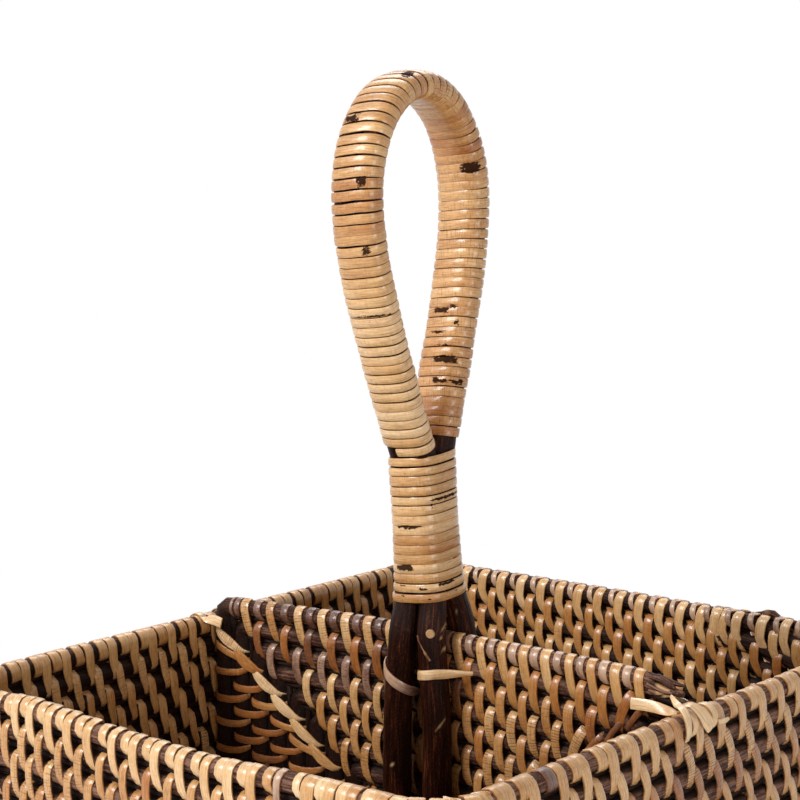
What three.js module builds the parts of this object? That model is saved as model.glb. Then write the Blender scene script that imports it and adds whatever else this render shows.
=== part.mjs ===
// Rattan cutlery caddy: a rectangular basket of coiled rods, an upright divider wound as a
// rectangular spiral, and a loop handle of two canes bound with peel.
// Millimetres, +Z up. X runs along the divider and Y across it. The origin is under the middle of the base.
import * as THREE from "three";

// Basket: centreline rectangle of the wall rods, and how the bound rods stack
const basketWidth = 212;
const basketLength = 259.4;
const wallCornerRadius = 18;
const rowPitch = 8.6;
const rowGap = 0.7;
const wallRows = 13;
const wallRodThickness = 7.5;
const baseThickness = 7.4;
const tightBendRadius = 4.8;

// Each row steps up to the next one over this stretch, just past one corner of the +Y wall
const stepLength = 44;
const scarfShare = 0.72;
const spliceTurns = [4.25, 8.72, 12.04];
const spliceGap = 0.3;

// Divider: a spiral panel whose rows and columns have pitches of their own
const dividerTurns = 8;
const dividerColumnPitch = 9.2;
const dividerThickness = 6.7;
const dividerRise = 9.3;
const dividerTipLength = 14;
const dividerTipClearance = 1.3;
const dividerTipTaper = 0.5;

// Handle canes: radius below the divider's top and in the wound part, and how the loop bows out
const legRadius = 4.9;
const caneRadius = 4.4;
const legSpread = 9.7;
const spreadTopRise = 45;
const spreadLength = 75;
const partingAboveNeck = 11;
const partingLength = 22;
const swellAboveNeck = 8;
const swellLength = 16;
const loopHalfWidth = 28;
const loopWidestRise = 157;
const loopCrownRise = 37;
const flankSlope = 0.375;
const flankRound = 11;
const handleLean = 0.106;
const handleLeanEase = 0.00023;

// Peel windings and lashings
const peelThickness = 0.55;
const peelWidth = 2.9;
const peelPitch = 3.45;
const neckBottomRise = 17;
const neckTopAboveJoin = 0.56;
const loopWindingAboveJoin = 5.56;
const grooveShare = 0.55;
const lashingWidth = 3.6;
const lashingThickness = 0.8;

// Where each leg lashing leaves and enters the divider above the rim's top, and how far its end runs on
const legLashings = [
  { name: "leg_lashing_front_left", sideX: -1, sideY: -1, riseIn: -1, riseOut: -10, tail: 1 },
  { name: "leg_lashing_front_right", sideX: 1, sideY: -1, riseIn: -4, riseOut: 0, tail: 8 },
  { name: "leg_lashing_back_left", sideX: -1, sideY: 1, riseIn: -4, riseOut: -4, tail: 1 },
  { name: "leg_lashing_back_right", sideX: 1, sideY: 1, riseIn: -10, riseOut: -4, tail: 1 },
];

// How far each rim tie runs along the divider, and where it starts there above the rim's top
const rimTies = [
  { name: "rim_tie_right_front", sideX: 1, sideY: -1, tail: 16, rise: -1 },
  { name: "rim_tie_right_back", sideX: 1, sideY: 1, tail: 8, rise: -2 },
  { name: "rim_tie_left_front", sideX: -1, sideY: -1, tail: 8, rise: -2 },
  { name: "rim_tie_left_back", sideX: -1, sideY: 1, tail: 8, rise: -2 },
];

// Clearances between pieces that touch
const seatGap = 0.3;
const windingClearance = 0.45;
const sleeveClearance = 0.15;

// Levels and half sizes that follow from the values above
const rodHalfHeight = (rowPitch - rowGap) / 2;
const firstRowLevel = baseThickness + rowGap + rodHalfHeight;
const rimLevel = firstRowLevel + (wallRows - 1) * rowPitch;
const rimTop = rimLevel + rodHalfHeight;
const halfWidth = basketWidth / 2;
const halfLength = basketLength / 2;
const innerHalfWidth = halfWidth - wallRodThickness / 2;
const dividerTop = rimTop + dividerRise;
const dividerBottom = baseThickness + seatGap;
const caneOffset = caneRadius + seatGap / 2;
const legOffset = dividerThickness / 2 + seatGap + legRadius;

// Where the loop's flanks come together and the neck starts
const flankReach = loopHalfWidth - caneOffset + flankRound;
const neckJoinRise = loopWidestRise - Math.sqrt(flankReach ** 2 - flankRound ** 2) / flankSlope;
const neckTopRise = neckJoinRise + neckTopAboveJoin;

const up = new THREE.Vector3(0, 0, 1);
const alongX = new THREE.Vector3(1, 0, 0);
const alongY = new THREE.Vector3(0, 1, 0);

// Materials
const barkRod = new THREE.MeshStandardMaterial({ color: 0x4a2c1e, roughness: 0.7, metalness: 0 });
const boundRod = new THREE.MeshStandardMaterial({ color: 0xb98a58, roughness: 0.55, metalness: 0 });
const darkCane = new THREE.MeshStandardMaterial({ color: 0x3a2014, roughness: 0.5, metalness: 0 });
const peel = new THREE.MeshStandardMaterial({ color: 0xd2a873, roughness: 0.45, metalness: 0 });

// Rings of points joined into one closed body, each ring counterclockwise about the way it runs
function loft(rings) {
  const sides = rings[0].length;
  const positions = rings.flat().flatMap((p) => [p.x, p.y, p.z]);
  const faces = [];
  for (let i = 0; i + 1 < rings.length; i += 1) {
    for (let j = 0; j < sides; j += 1) {
      const a = i * sides + j;
      const b = i * sides + ((j + 1) % sides);
      faces.push(a, b, b + sides, a, b + sides, a + sides);
    }
  }
  const last = (rings.length - 1) * sides;
  for (let j = 1; j + 1 < sides; j += 1) {
    faces.push(0, j + 1, j);
    faces.push(last, last + j, last + j + 1);
  }
  const geometry = new THREE.BufferGeometry();
  geometry.setAttribute("position", new THREE.Float32BufferAttribute(positions, 3));
  geometry.setIndex(faces);
  geometry.computeVertexNormals();
  return geometry;
}

// Directions at each point of a path: along it, and across it square to the hint.
// Mitred bends widen the section across by `stretch`.
function frames(path, hint) {
  return path.map((point, i) => {
    const before = point.clone().sub(path[Math.max(i - 1, 0)]).normalize();
    const after = path[Math.min(i + 1, path.length - 1)].clone().sub(point).normalize();
    const tangent = before.clone().add(after).normalize();
    const side = i > 0 ? before : after;
    const across = hint.clone().cross(tangent).normalize();
    const lift = tangent.clone().cross(across);
    return { point, tangent, across, lift, stretch: 1 / tangent.dot(side) };
  });
}

// A section given as [across, lift] pairs, swept along a path
function sweep(path, hint, sectionAt) {
  const rings = frames(path, hint).map((frame, i) =>
    sectionAt(i, frame).map(([u, v]) =>
      frame.point
        .clone()
        .addScaledVector(frame.across, u * frame.stretch)
        .addScaledVector(frame.lift, v)
    )
  );
  return loft(rings);
}

// Section of a bound rod: flat where it faces its neighbours above and below
function boundSection(halfAcross, low, high) {
  const middle = (low + high) / 2;
  const shoulder = halfAcross / 2;
  return [
    [halfAcross, middle],
    [shoulder, high],
    [-shoulder, high],
    [-halfAcross, middle],
    [-shoulder, low],
    [shoulder, low],
  ];
}

function roundSection(radius, sides) {
  return Array.from({ length: sides }, (_, i) => {
    const angle = (2 * Math.PI * i) / sides;
    return [radius * Math.cos(angle), radius * Math.sin(angle)];
  });
}

// The points of a quarter bend between two square runs that meet at `corner`
function bend(corner, from, to, radius, steps) {
  const inward = from.clone().sub(corner).normalize();
  const outward = to.clone().sub(corner).normalize();
  const centre = corner.clone().addScaledVector(inward, radius).addScaledVector(outward, radius);
  return Array.from({ length: steps + 1 }, (_, i) => {
    const angle = (Math.PI / 2) * (i / steps);
    return centre
      .clone()
      .addScaledVector(outward, -radius * Math.cos(angle))
      .addScaledVector(inward, -radius * Math.sin(angle));
  });
}

function bendSteps(radius) {
  return radius > wallCornerRadius / 2 ? 3 : 2;
}

function smoothStep(t) {
  const s = Math.min(Math.max(t, 0), 1);
  return s * s * (3 - 2 * s);
}

// Wall: level turns, each stepping up to the next over stepLength

const stepStart = new THREE.Vector3(halfWidth - wallCornerRadius, halfLength, 0);
const stepEnd = stepStart.clone().addScaledVector(alongX, -stepLength);

function wallTurn(level) {
  const corners = [
    [-halfWidth, halfLength],
    [-halfWidth, -halfLength],
    [halfWidth, -halfLength],
    [halfWidth, halfLength],
  ].map(([x, y]) => new THREE.Vector3(x, y, 0));
  const points = [stepEnd.clone()];
  corners.forEach((corner, i) => {
    const from = i === 0 ? stepEnd : corners[i - 1];
    const to = i === 3 ? stepEnd : corners[i + 1];
    points.push(...bend(corner, from, to, wallCornerRadius, bendSteps(wallCornerRadius)));
  });
  points.forEach((p) => p.setZ(level));
  return points;
}

function distances(path) {
  const sums = [0];
  for (let i = 1; i < path.length; i += 1) {
    sums.push(sums[i - 1] + path[i].distanceTo(path[i - 1]));
  }
  return sums;
}

function pointAt(path, sums, s) {
  const i = Math.min(Math.max(sums.findIndex((d) => d > s), 1), path.length - 1);
  return path[i - 1].clone().lerp(path[i], (s - sums[i - 1]) / (sums[i] - sums[i - 1]));
}

function slice(path, from, to) {
  const sums = distances(path);
  const start = sums.findIndex((d) => d > from);
  const end = sums.findIndex((d) => d >= to - 1e-6);
  const inner = path.slice(start, end < 0 ? path.length : end);
  const closing = to >= sums[sums.length - 1] - 1e-6 ? path[path.length - 1] : pointAt(path, sums, to);
  return [pointAt(path, sums, from), ...inner.filter((p) => p !== closing), closing.clone()];
}

const wallTurns = Array.from({ length: wallRows }, (_, k) => wallTurn(firstRowLevel + k * rowPitch));
const wallPath = wallTurns.flat();
const wallSums = distances(wallPath);
const turnLength = wallSums[wallTurns[0].length];

// The first turn starts, and the last one ends, in a scarf that shares the step with the row beside it
const scarfLength = scarfShare * stepLength;
const scarfThickness = rodHalfHeight * 2 * (1 - scarfShare);
const scarfStart = stepEnd.clone().addScaledVector(alongX, scarfLength).setZ(firstRowLevel);
const scarfEnd = stepStart.clone().addScaledVector(alongX, -scarfLength).setZ(rimLevel);

function wallCoil(fromTurn, toTurn) {
  const first = fromTurn === 0;
  const last = toTurn === wallRows;
  const start = first ? 0 : fromTurn * turnLength + spliceGap / 2;
  const end = last ? wallSums[wallSums.length - 1] : toTurn * turnLength - spliceGap / 2;
  const path = slice(wallPath, start, end);
  if (first) {
    path.unshift(scarfStart);
  }
  if (last) {
    path.push(scarfEnd);
  }
  return sweep(path, up, (i) => {
    const high = first && i === 0 ? scarfThickness - rodHalfHeight : rodHalfHeight;
    const low = last && i === path.length - 1 ? rodHalfHeight - scarfThickness : -rodHalfHeight;
    return boundSection(wallRodThickness / 2, low, high);
  });
}

// Flat spirals: the base mat and the divider. In a plane of u and v, loops round a straight core.

function spiralCorners(turns, core, pitchU, pitchV, gap, endU) {
  const startU = core + 1.5 * pitchU - gap / 2;
  const corners = [{ u: startU, v: -pitchV / 2, out: turns }];
  for (let k = 0; k < turns; k += 1) {
    const side = core + (k + 1) * pitchU;
    const row = (k + 0.5) * pitchV;
    const out = turns - 1 - k;
    corners.push({ u: -side, v: -row, out }, { u: -side, v: row, out });
    if (out > 0) {
      corners.push({ u: side + pitchU, v: row, out }, { u: side + pitchU, v: -row - pitchV, out: out - 1 });
    } else {
      corners.push({ u: endU, v: row, out });
    }
  }
  return corners;
}

// Path of a flat spiral, with bends that follow the outermost one inward until they are tight
function spiralPath(corners, place, outerRadius, pitch) {
  const path = [place(corners[0])];
  for (let i = 1; i + 1 < corners.length; i += 1) {
    const radius = Math.max(tightBendRadius, outerRadius - corners[i].out * pitch);
    const [before, at, after] = [corners[i - 1], corners[i], corners[i + 1]].map(place);
    path.push(...bend(at, before, after, radius, bendSteps(radius)));
  }
  path.push(place(corners[corners.length - 1]));
  return path;
}

// Base mat: the outermost loop lies under the wall rods
const baseTurns = Math.round(halfWidth / rowPitch + 0.5);
const basePitch = halfWidth / (baseTurns - 0.5);
const baseHalfRod = (basePitch - rowGap) / 2;

function baseCoil() {
  const core = halfLength - baseTurns * basePitch;
  const cornerLine = halfLength - wallCornerRadius;
  const corners = spiralCorners(baseTurns, core, basePitch, basePitch, rowGap, cornerLine);
  const place = ({ u, v }) => new THREE.Vector3(-v, u, baseThickness / 2);
  const path = spiralPath(corners, place, wallCornerRadius, basePitch);
  // The rod ends in a scarf that follows the corner and narrows from its inner side
  const whole = path.length;
  const cornerCentre = new THREE.Vector3(wallCornerRadius - halfWidth, cornerLine, baseThickness / 2);
  const scarf = [
    { angle: Math.PI / 8, left: 0.8 },
    { angle: Math.PI / 4, left: 0.35 },
  ];
  scarf.forEach(({ angle }) => {
    const reach = new THREE.Vector3(-Math.cos(angle), Math.sin(angle), 0);
    path.push(cornerCentre.clone().addScaledVector(reach, wallCornerRadius));
  });
  return sweep(path, up, (i) => {
    const share = i < whole ? 1 : scarf[i - whole].left;
    const section = boundSection(baseHalfRod, -baseThickness / 2, baseThickness / 2);
    return section.map(([a, b]) => [baseHalfRod - (baseHalfRod - a) * share, b]);
  });
}

// Divider: stands on the base between the end walls, its raw end at the top on the +X side
const dividerRowPitch = (dividerTop - dividerBottom + rowGap) / (2 * dividerTurns);
const dividerHalfRow = (dividerRowPitch - rowGap) / 2;
const dividerHalfColumn = (dividerColumnPitch - rowGap) / 2;
const dividerSide = innerHalfWidth - seatGap - dividerHalfColumn;
const dividerMiddle = (dividerTop + dividerBottom) / 2;

function dividerCoil() {
  const core = dividerSide - dividerTurns * dividerColumnPitch;
  const tip = innerHalfWidth - dividerTipClearance;
  const pitches = [dividerColumnPitch, dividerRowPitch];
  const corners = spiralCorners(dividerTurns, core, ...pitches, rowGap, tip - dividerTipLength);
  const place = ({ u, v }) => new THREE.Vector3(u, 0, dividerMiddle + v);
  const path = spiralPath(corners, place, dividerHalfColumn + tightBendRadius, dividerColumnPitch);
  path.push(new THREE.Vector3(tip, 0, path[path.length - 1].z - dividerHalfRow / 4));
  return sweep(path, alongY, (i, frame) => {
    const share = frame.tangent.z ** 2;
    const half = dividerHalfRow * (1 - share) + dividerHalfColumn * share;
    const taper = i === path.length - 1 ? dividerTipTaper : 1;
    const halfDepth = (dividerThickness / 2) * taper;
    return [
      [half * taper, halfDepth / 2],
      [0, halfDepth],
      [-half * taper, halfDepth / 2],
      [-half * taper, -halfDepth / 2],
      [0, -halfDepth],
      [half * taper, -halfDepth / 2],
    ];
  });
}

// Handle: heights are measured from the rim's top

function leanAt(rise) {
  const above = Math.max(rise - neckBottomRise, 0);
  return -handleLean * above + handleLeanEase * above ** 2;
}

// Half the distance between the front and back canes
function bowAt(rise) {
  const below = loopWidestRise - rise;
  if (below < 0) {
    return loopHalfWidth * Math.sqrt(Math.max(1 - (below / loopCrownRise) ** 2, 0));
  }
  const flank = loopHalfWidth - (Math.hypot(flankSlope * below, flankRound) - flankRound);
  const legShare = smoothStep((neckBottomRise + partingAboveNeck - rise) / partingLength);
  const neck = caneOffset + (legOffset - caneOffset) * legShare;
  return Math.max(neck, flank);
}

// Half the distance between the left and right canes
function spreadAt(rise) {
  return caneOffset + (legSpread - caneOffset) * smoothStep((spreadTopRise - rise) / spreadLength);
}

function radiusAt(rise) {
  const swell = smoothStep((neckBottomRise + swellAboveNeck - rise) / swellLength);
  return caneRadius + (legRadius - caneRadius) * swell;
}

// The centreline of both canes from the front foot over the loop to the back foot: stretches of
// even steps, which are short where the legs come together
const footRise = baseThickness + seatGap - rimTop;
const spreadBottomRise = spreadTopRise - spreadLength;
const stretches = [
  { from: footRise, to: spreadBottomRise, steps: 2 },
  { from: spreadBottomRise, to: spreadTopRise, steps: 16 },
  { from: spreadTopRise, to: neckJoinRise, steps: 3 },
  { from: neckJoinRise, to: loopWidestRise, steps: 12 },
];
const crownSteps = 16;

function handleStations() {
  const rises = stretches.flatMap(({ from, to, steps }) =>
    Array.from({ length: steps }, (_, i) => from + ((to - from) * i) / steps)
  );
  const rising = rises.map((rise) => ({ rise, y: -bowAt(rise) }));
  const crown = Array.from({ length: crownSteps + 1 }, (_, i) => {
    const angle = (Math.PI * i) / crownSteps;
    return {
      rise: loopWidestRise + loopCrownRise * Math.sin(angle),
      y: -loopHalfWidth * Math.cos(angle),
    };
  });
  const falling = rising.map(({ rise, y }) => ({ rise, y: -y })).reverse();
  return [...rising, ...crown, ...falling];
}

const stations = handleStations();

function cane(side) {
  const path = stations.map(({ rise, y }) =>
    new THREE.Vector3(side * spreadAt(rise), y + leanAt(rise), rimTop + rise)
  );
  return sweep(path, alongX, (i) => roundSection(radiusAt(stations[i].rise), 8));
}

// Both canes side by side, as a ring of points: five round the outside of each
function pairSection(radius) {
  const points = [];
  for (let i = 0; i < 10; i += 1) {
    const angle = (Math.PI / 4) * (i < 5 ? i : i - 1) - Math.PI / 2;
    const centre = i < 5 ? caneOffset : -caneOffset;
    points.push([radius * Math.cos(angle) + centre, radius * Math.sin(angle)]);
  }
  return points;
}

// Loop winding: a sleeve of peel whose outside is one unbroken screw of turns
function loopWinding() {
  const middle = stations
    .filter(({ rise }) => rise >= neckJoinRise)
    .map(({ rise, y }) => new THREE.Vector3(0, y + leanAt(rise), rimTop + rise));
  const sums = distances(middle);
  const trim = loopWindingAboveJoin * Math.hypot(1, flankSlope);
  const length = sums[sums.length - 1] - 2 * trim;
  const whole = frames(middle, alongX);
  const plainTurns = 2;
  const turns = Math.floor(length / peelPitch) - plainTurns;
  const pitch = length / (turns + plainTurns);
  const placed = (s, [u, v]) => {
    const i = Math.min(Math.max(sums.findIndex((d) => d > s), 1), middle.length - 1);
    const t = (s - sums[i - 1]) / (sums[i] - sums[i - 1]);
    const across = whole[i - 1].across.clone().lerp(whole[i].across, t);
    const lift = whole[i - 1].lift.clone().lerp(whole[i].lift, t).normalize();
    return middle[i - 1]
      .clone()
      .lerp(middle[i], t)
      .addScaledVector(lift, u)
      .addScaledVector(across.normalize(), -v);
  };
  const boreRadius = caneRadius + sleeveClearance;
  const bore = pairSection(boreRadius);
  const valley = pairSection(boreRadius + peelThickness * grooveShare);
  const ridge = pairSection(boreRadius + peelThickness);
  const sides = bore.length;
  const points = [];
  const ringOf = (place) => {
    const start = points.length;
    for (let j = 0; j < sides; j += 1) {
      points.push(place(j));
    }
    return start;
  };
  const startOuter = ringOf((j) => placed(trim, valley[j]));
  const threads = [];
  for (let row = 0; row <= 2 * turns; row += 1) {
    const section = row % 2 === 0 ? valley : ridge;
    const turnsAt = (j) => plainTurns / 4 + row / 2 + j / sides;
    threads.push(ringOf((j) => placed(trim + pitch * turnsAt(j), section[j])));
  }
  const endOuter = ringOf((j) => placed(trim + length, valley[j]));
  const boreRings = [ringOf((j) => placed(trim, bore[j]))];
  middle.forEach((_, i) => {
    if (sums[i] > trim + pitch / 2 && sums[i] < trim + length - pitch / 2) {
      boreRings.push(ringOf((j) => placed(sums[i], bore[j])));
    }
  });
  boreRings.push(ringOf((j) => placed(trim + length, bore[j])));

  const faces = [];
  const quad = (a, b, c, d) => faces.push(a, b, c, a, c, d);
  const wrap = (start, j) => start + (j % sides);
  // The turns: after a whole round, a row runs on into the one two above it
  for (let row = 0; row < 2 * turns; row += 1) {
    for (let j = 0; j < sides; j += 1) {
      const ahead = j + 1 < sides;
      if (!ahead && row + 3 > 2 * turns) {
        continue;
      }
      const low = ahead ? threads[row] + j + 1 : threads[row + 2];
      const high = ahead ? threads[row + 1] + j + 1 : threads[row + 3];
      quad(threads[row] + j, low, high, threads[row + 1] + j);
    }
  }
  // The flat rings at both ends of the screw
  const firstRow = threads[0];
  const lastRow = threads[2 * turns];
  for (let j = 0; j + 1 < sides; j += 1) {
    quad(startOuter + j, startOuter + j + 1, firstRow + j + 1, firstRow + j);
    quad(lastRow + j, lastRow + j + 1, endOuter + j + 1, endOuter + j);
  }
  const seamLow = [startOuter, threads[0], threads[1], threads[2]];
  quad(startOuter + sides - 1, startOuter, threads[2], firstRow + sides - 1);
  faces.push(seamLow[0], seamLow[1], seamLow[2], seamLow[0], seamLow[2], seamLow[3]);
  const n = 2 * turns;
  const seamHigh = [threads[n - 2], threads[n - 1], threads[n]].map((start) => start + sides - 1);
  quad(seamHigh[2], threads[n], endOuter, endOuter + sides - 1);
  faces.push(seamHigh[0], threads[n], seamHigh[1], seamHigh[1], threads[n], seamHigh[2]);
  // The bore, and the faces between it and the outside
  for (let i = 0; i + 1 < boreRings.length; i += 1) {
    for (let j = 0; j < sides; j += 1) {
      const [low, high] = [boreRings[i], boreRings[i + 1]];
      quad(low + j, high + j, wrap(high, j + 1), wrap(low, j + 1));
    }
  }
  for (let j = 0; j < sides; j += 1) {
    const [low, high] = [boreRings[0], boreRings[boreRings.length - 1]];
    quad(startOuter + j, low + j, wrap(low, j + 1), wrap(startOuter, j + 1));
    quad(endOuter + j, wrap(endOuter, j + 1), wrap(high, j + 1), high + j);
  }
  const geometry = new THREE.BufferGeometry();
  const positions = points.flatMap((p) => [p.x, p.y, p.z]);
  geometry.setAttribute("position", new THREE.Float32BufferAttribute(positions, 3));
  geometry.setIndex(faces);
  geometry.computeVertexNormals();
  return geometry;
}

// Neck winding: one strip wound round all four legs, from the bottom up
const neckStepsPerTurn = 12;
const neckClimb = neckTopRise - neckBottomRise - peelWidth;
const neckTurns = Math.round(neckClimb / peelPitch);
const neckPitch = neckClimb / neckTurns;

// A point of the strip: how far round it is, and where in the strip's thickness and width
function neckPoint(step, outward, upward) {
  const rise = neckBottomRise + peelWidth / 2 + (neckPitch * step) / neckStepsPerTurn + upward;
  const quarter = Math.floor((step % neckStepsPerTurn) / 3);
  const angle = (Math.PI / 2) * (quarter - 1) + (Math.PI / 4) * (step % 3);
  const [sideX, sideY] = [[1, -1], [1, 1], [-1, 1], [-1, -1]][quarter];
  const reach = radiusAt(rise) + windingClearance + peelThickness / 2 + outward;
  return new THREE.Vector3(
    sideX * spreadAt(rise) + reach * Math.cos(angle),
    sideY * bowAt(rise) + leanAt(rise) + reach * Math.sin(angle),
    rimTop + rise
  );
}

const neckSteps = Array.from({ length: neckTurns * neckStepsPerTurn + 1 }, (_, i) => i);

function neckWinding() {
  const [thick, wide] = [peelThickness / 2, peelWidth / 2];
  const edges = [[-thick, -wide], [-thick, wide], [thick, wide], [thick, -wide]];
  return loft(neckSteps.map((step) => edges.map(([out, lift]) => neckPoint(step, out, lift))));
}

// Strip section with its width along the lift direction
function stripSection() {
  const [half, width] = [lashingThickness / 2, lashingWidth / 2];
  return [[half, -width], [half, width], [-half, width], [-half, -width]];
}

// A strip that holds one leg to the divider: it comes out of the panel, goes round the leg and back in
function legLashing({ sideX, sideY, riseIn, riseOut, tail }) {
  const rise = (riseIn + riseOut) / 2;
  const reach = radiusAt(rise) + windingClearance + lashingThickness / 2;
  const centre = new THREE.Vector3(sideX * spreadAt(rise), sideY * legOffset, 0);
  const face = dividerThickness / 2 + seatGap;
  const outline = [[-reach, face - legOffset]];
  for (let i = 0; i <= 6; i += 1) {
    const angle = Math.PI * (1 - i / 6);
    outline.push([reach * Math.cos(angle), reach * Math.sin(angle)]);
  }
  outline.push([reach + tail, face + lashingThickness / 2 - legOffset]);
  const path = outline.map(([x, y], i) => {
    const share = i / (outline.length - 1);
    const level = rimTop + riseIn + (riseOut - riseIn) * share;
    return new THREE.Vector3(centre.x + x, centre.y + sideY * y, level);
  });
  return sweep(path, up, stripSection);
}

// A strip that holds one end of the divider to the rim: along the panel's face, up over the rim rod
// and down its outer side
function rimTie({ sideX, sideY, tail, rise }) {
  const clear = seatGap + lashingThickness / 2;
  const y = sideY * (dividerThickness / 2 + clear + lashingWidth / 2);
  const inner = innerHalfWidth - clear;
  const outer = halfWidth + wallRodThickness / 2 + clear;
  const shoulder = wallRodThickness / 4;
  const over = rimTop + clear;
  const outline = [
    [inner - tail, rimTop + rise],
    [inner, rimLevel],
    [halfWidth - shoulder - clear / 2, over],
    [halfWidth + shoulder + clear / 2, over],
    [outer, rimLevel],
    [outer, rimLevel - rodHalfHeight - rowGap / 2],
  ];
  const path = outline.map(([x, z]) => new THREE.Vector3(sideX * x, y, z));
  return sweep(path, alongY, stripSection);
}

const caddy = new THREE.Group();

function add(name, geometry, material) {
  const mesh = new THREE.Mesh(geometry, material);
  mesh.name = name;
  caddy.add(mesh);
}

add("base_coil", baseCoil(), boundRod);
add("wall_coil_lower", wallCoil(0, spliceTurns[0]), boundRod);
add("wall_coil_middle", wallCoil(spliceTurns[0], spliceTurns[1]), boundRod);
add("wall_coil_upper", wallCoil(spliceTurns[1], spliceTurns[2]), boundRod);
add("rim_coil", wallCoil(spliceTurns[2], wallRows), barkRod);
add("divider_coil", dividerCoil(), boundRod);
add("cane_left", cane(-1), darkCane);
add("cane_right", cane(1), darkCane);
add("loop_winding", loopWinding(), peel);
add("neck_winding", neckWinding(), peel);
legLashings.forEach((strip) => add(strip.name, legLashing(strip), peel));
rimTies.forEach((strip) => add(strip.name, rimTie(strip), peel));

// The least gap between turns, measured on the points of each path
function leastGap(path, reach, skip) {
  let least = Infinity;
  path.forEach((p, i) => {
    for (let j = i + skip; j < path.length; j += 1) {
      least = Math.min(least, p.distanceTo(path[j]));
    }
  });
  return least - reach;
}

const wallGap = leastGap(wallPath, 2 * rodHalfHeight, wallTurns[0].length - 2);
const neckPath = neckSteps.map((step) => neckPoint(step, 0, 0));
const neckGap = leastGap(neckPath, peelWidth, neckStepsPerTurn - 2);
console.log(`least gap between wall turns ${wallGap.toFixed(2)} mm, neck turns ${neckGap.toFixed(2)} mm`);

export default caddy;
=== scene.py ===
"""Dresses the rattan cutlery caddy: bare rods, the peel stitched round them, and the bound loop handle.

Sizes and places are in millimetres in the model's own frame and become metres when a mesh is made. A strip
of peel is a ribbon: a line of points, the way its outer side faces, and its width. Every piece carries two
sets of numbers for its material: "place" is across, along and a number of its own, "look" is tone, stain
and cracks."""
import math

import bpy
import numpy as np
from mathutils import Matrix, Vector


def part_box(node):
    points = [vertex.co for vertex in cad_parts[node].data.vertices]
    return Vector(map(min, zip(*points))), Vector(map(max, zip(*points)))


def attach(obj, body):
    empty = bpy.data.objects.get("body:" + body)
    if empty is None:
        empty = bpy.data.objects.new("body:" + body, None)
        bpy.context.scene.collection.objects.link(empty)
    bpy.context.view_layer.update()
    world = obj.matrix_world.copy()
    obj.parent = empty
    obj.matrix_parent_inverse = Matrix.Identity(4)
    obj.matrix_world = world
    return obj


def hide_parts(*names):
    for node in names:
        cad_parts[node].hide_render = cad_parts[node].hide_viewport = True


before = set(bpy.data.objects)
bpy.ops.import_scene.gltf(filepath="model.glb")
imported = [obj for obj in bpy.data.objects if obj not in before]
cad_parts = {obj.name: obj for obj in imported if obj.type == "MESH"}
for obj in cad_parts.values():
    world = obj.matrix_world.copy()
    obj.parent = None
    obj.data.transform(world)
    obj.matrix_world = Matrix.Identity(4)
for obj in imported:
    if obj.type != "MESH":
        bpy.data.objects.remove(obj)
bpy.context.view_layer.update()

MM = 0.001


def box_mm(node):
    """Lowest and highest corner of a node of the model, in millimetres."""
    low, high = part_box(node)
    return np.array(low) / MM, np.array(high) / MM


# Rods of the basket: how they stack, and the stretch in which each turn steps up to the next
ROW_PITCH = 8.6
ROW_GAP = 0.7
ROWS = 13
BOUND_THICKNESS = 7.5
CORNER_RADIUS = 18.0
STEP_LENGTH = 44.0
SCARF_LENGTH = 31.7
ROD_HALF_WIDTH = 3.15
ROD_HALF_HEIGHT = 3.3
RIM_SINK = 0.35
SPLICE_TURNS = (0.0, 4.25, 8.72, 12.04, 13.0)

# Peel of the basket. A half stitch over makes each row lie between the stitches of the one below.
# The places give stitch numbers on a turn and how far along the turn they lie.
STITCHES_PER_TURN = 89.5
STITCH_PLACES = ((0.5, 3.2), (12.5, 117.2), (28.5, 283.3), (36.5, 366.1), (41, 409.0), (44, 437.5),
                 (45, 444.6), (46, 453.0), (48, 471.7), (50, 491.5), (54, 531.0), (57, 560.9), (60, 587.4),
                 (64, 627.5), (65, 638.2), (66, 653.0), (67, 665.6), (77, 787.7))
# How the top rows rise and sink on the near left wall: distance along the turn, height
RIM_WAVES = ((395, 0), (438, 3.0), (456, 1.6), (475, 0), (495, -0.7), (519, -1.2), (551, 0.5), (591, 0.8),
             (640, 0))
# How far the rows are raised on the far right wall, as turn and height: its upper rows lie closer
FAR_RIGHT_LIFT = ((0, 0), (1, 0), (7, 4.2), (11, 1.0), (12, 0))
PEEL_HALF_WIDTH = 1.85
PEEL_THICKNESS = 0.6

# Divider
DIVIDER_TURNS = 8
COLUMN_PITCH = 9.2
DIVIDER_ROD = 2.6
TIGHT_BEND = 2.2

# Handle canes and their windings, as in the model's source. Rises are heights above the rim.
LEG_RADIUS = 4.9
CANE_RADIUS = 4.4
CANE_OFFSET = 4.55
LEG_SPREAD = 9.7
SPREAD_TOP = 45.0
SPREAD_LENGTH = 75.0
PARTING_RISE = 28.0
PARTING_LENGTH = 22.0
SWELL_RISE = 25.0
SWELL_LENGTH = 16.0
LOOP_HALF_WIDTH = 28.0
LOOP_WIDEST = 157.0
LOOP_CROWN = 37.0
FLANK_SLOPE = 0.375
FLANK_ROUND = 11.0
LEAN = 0.106
LEAN_EASE = 0.00023
NECK_BOTTOM = 17.0
FRONT_LEFT_SHIFT = 1.9

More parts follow.
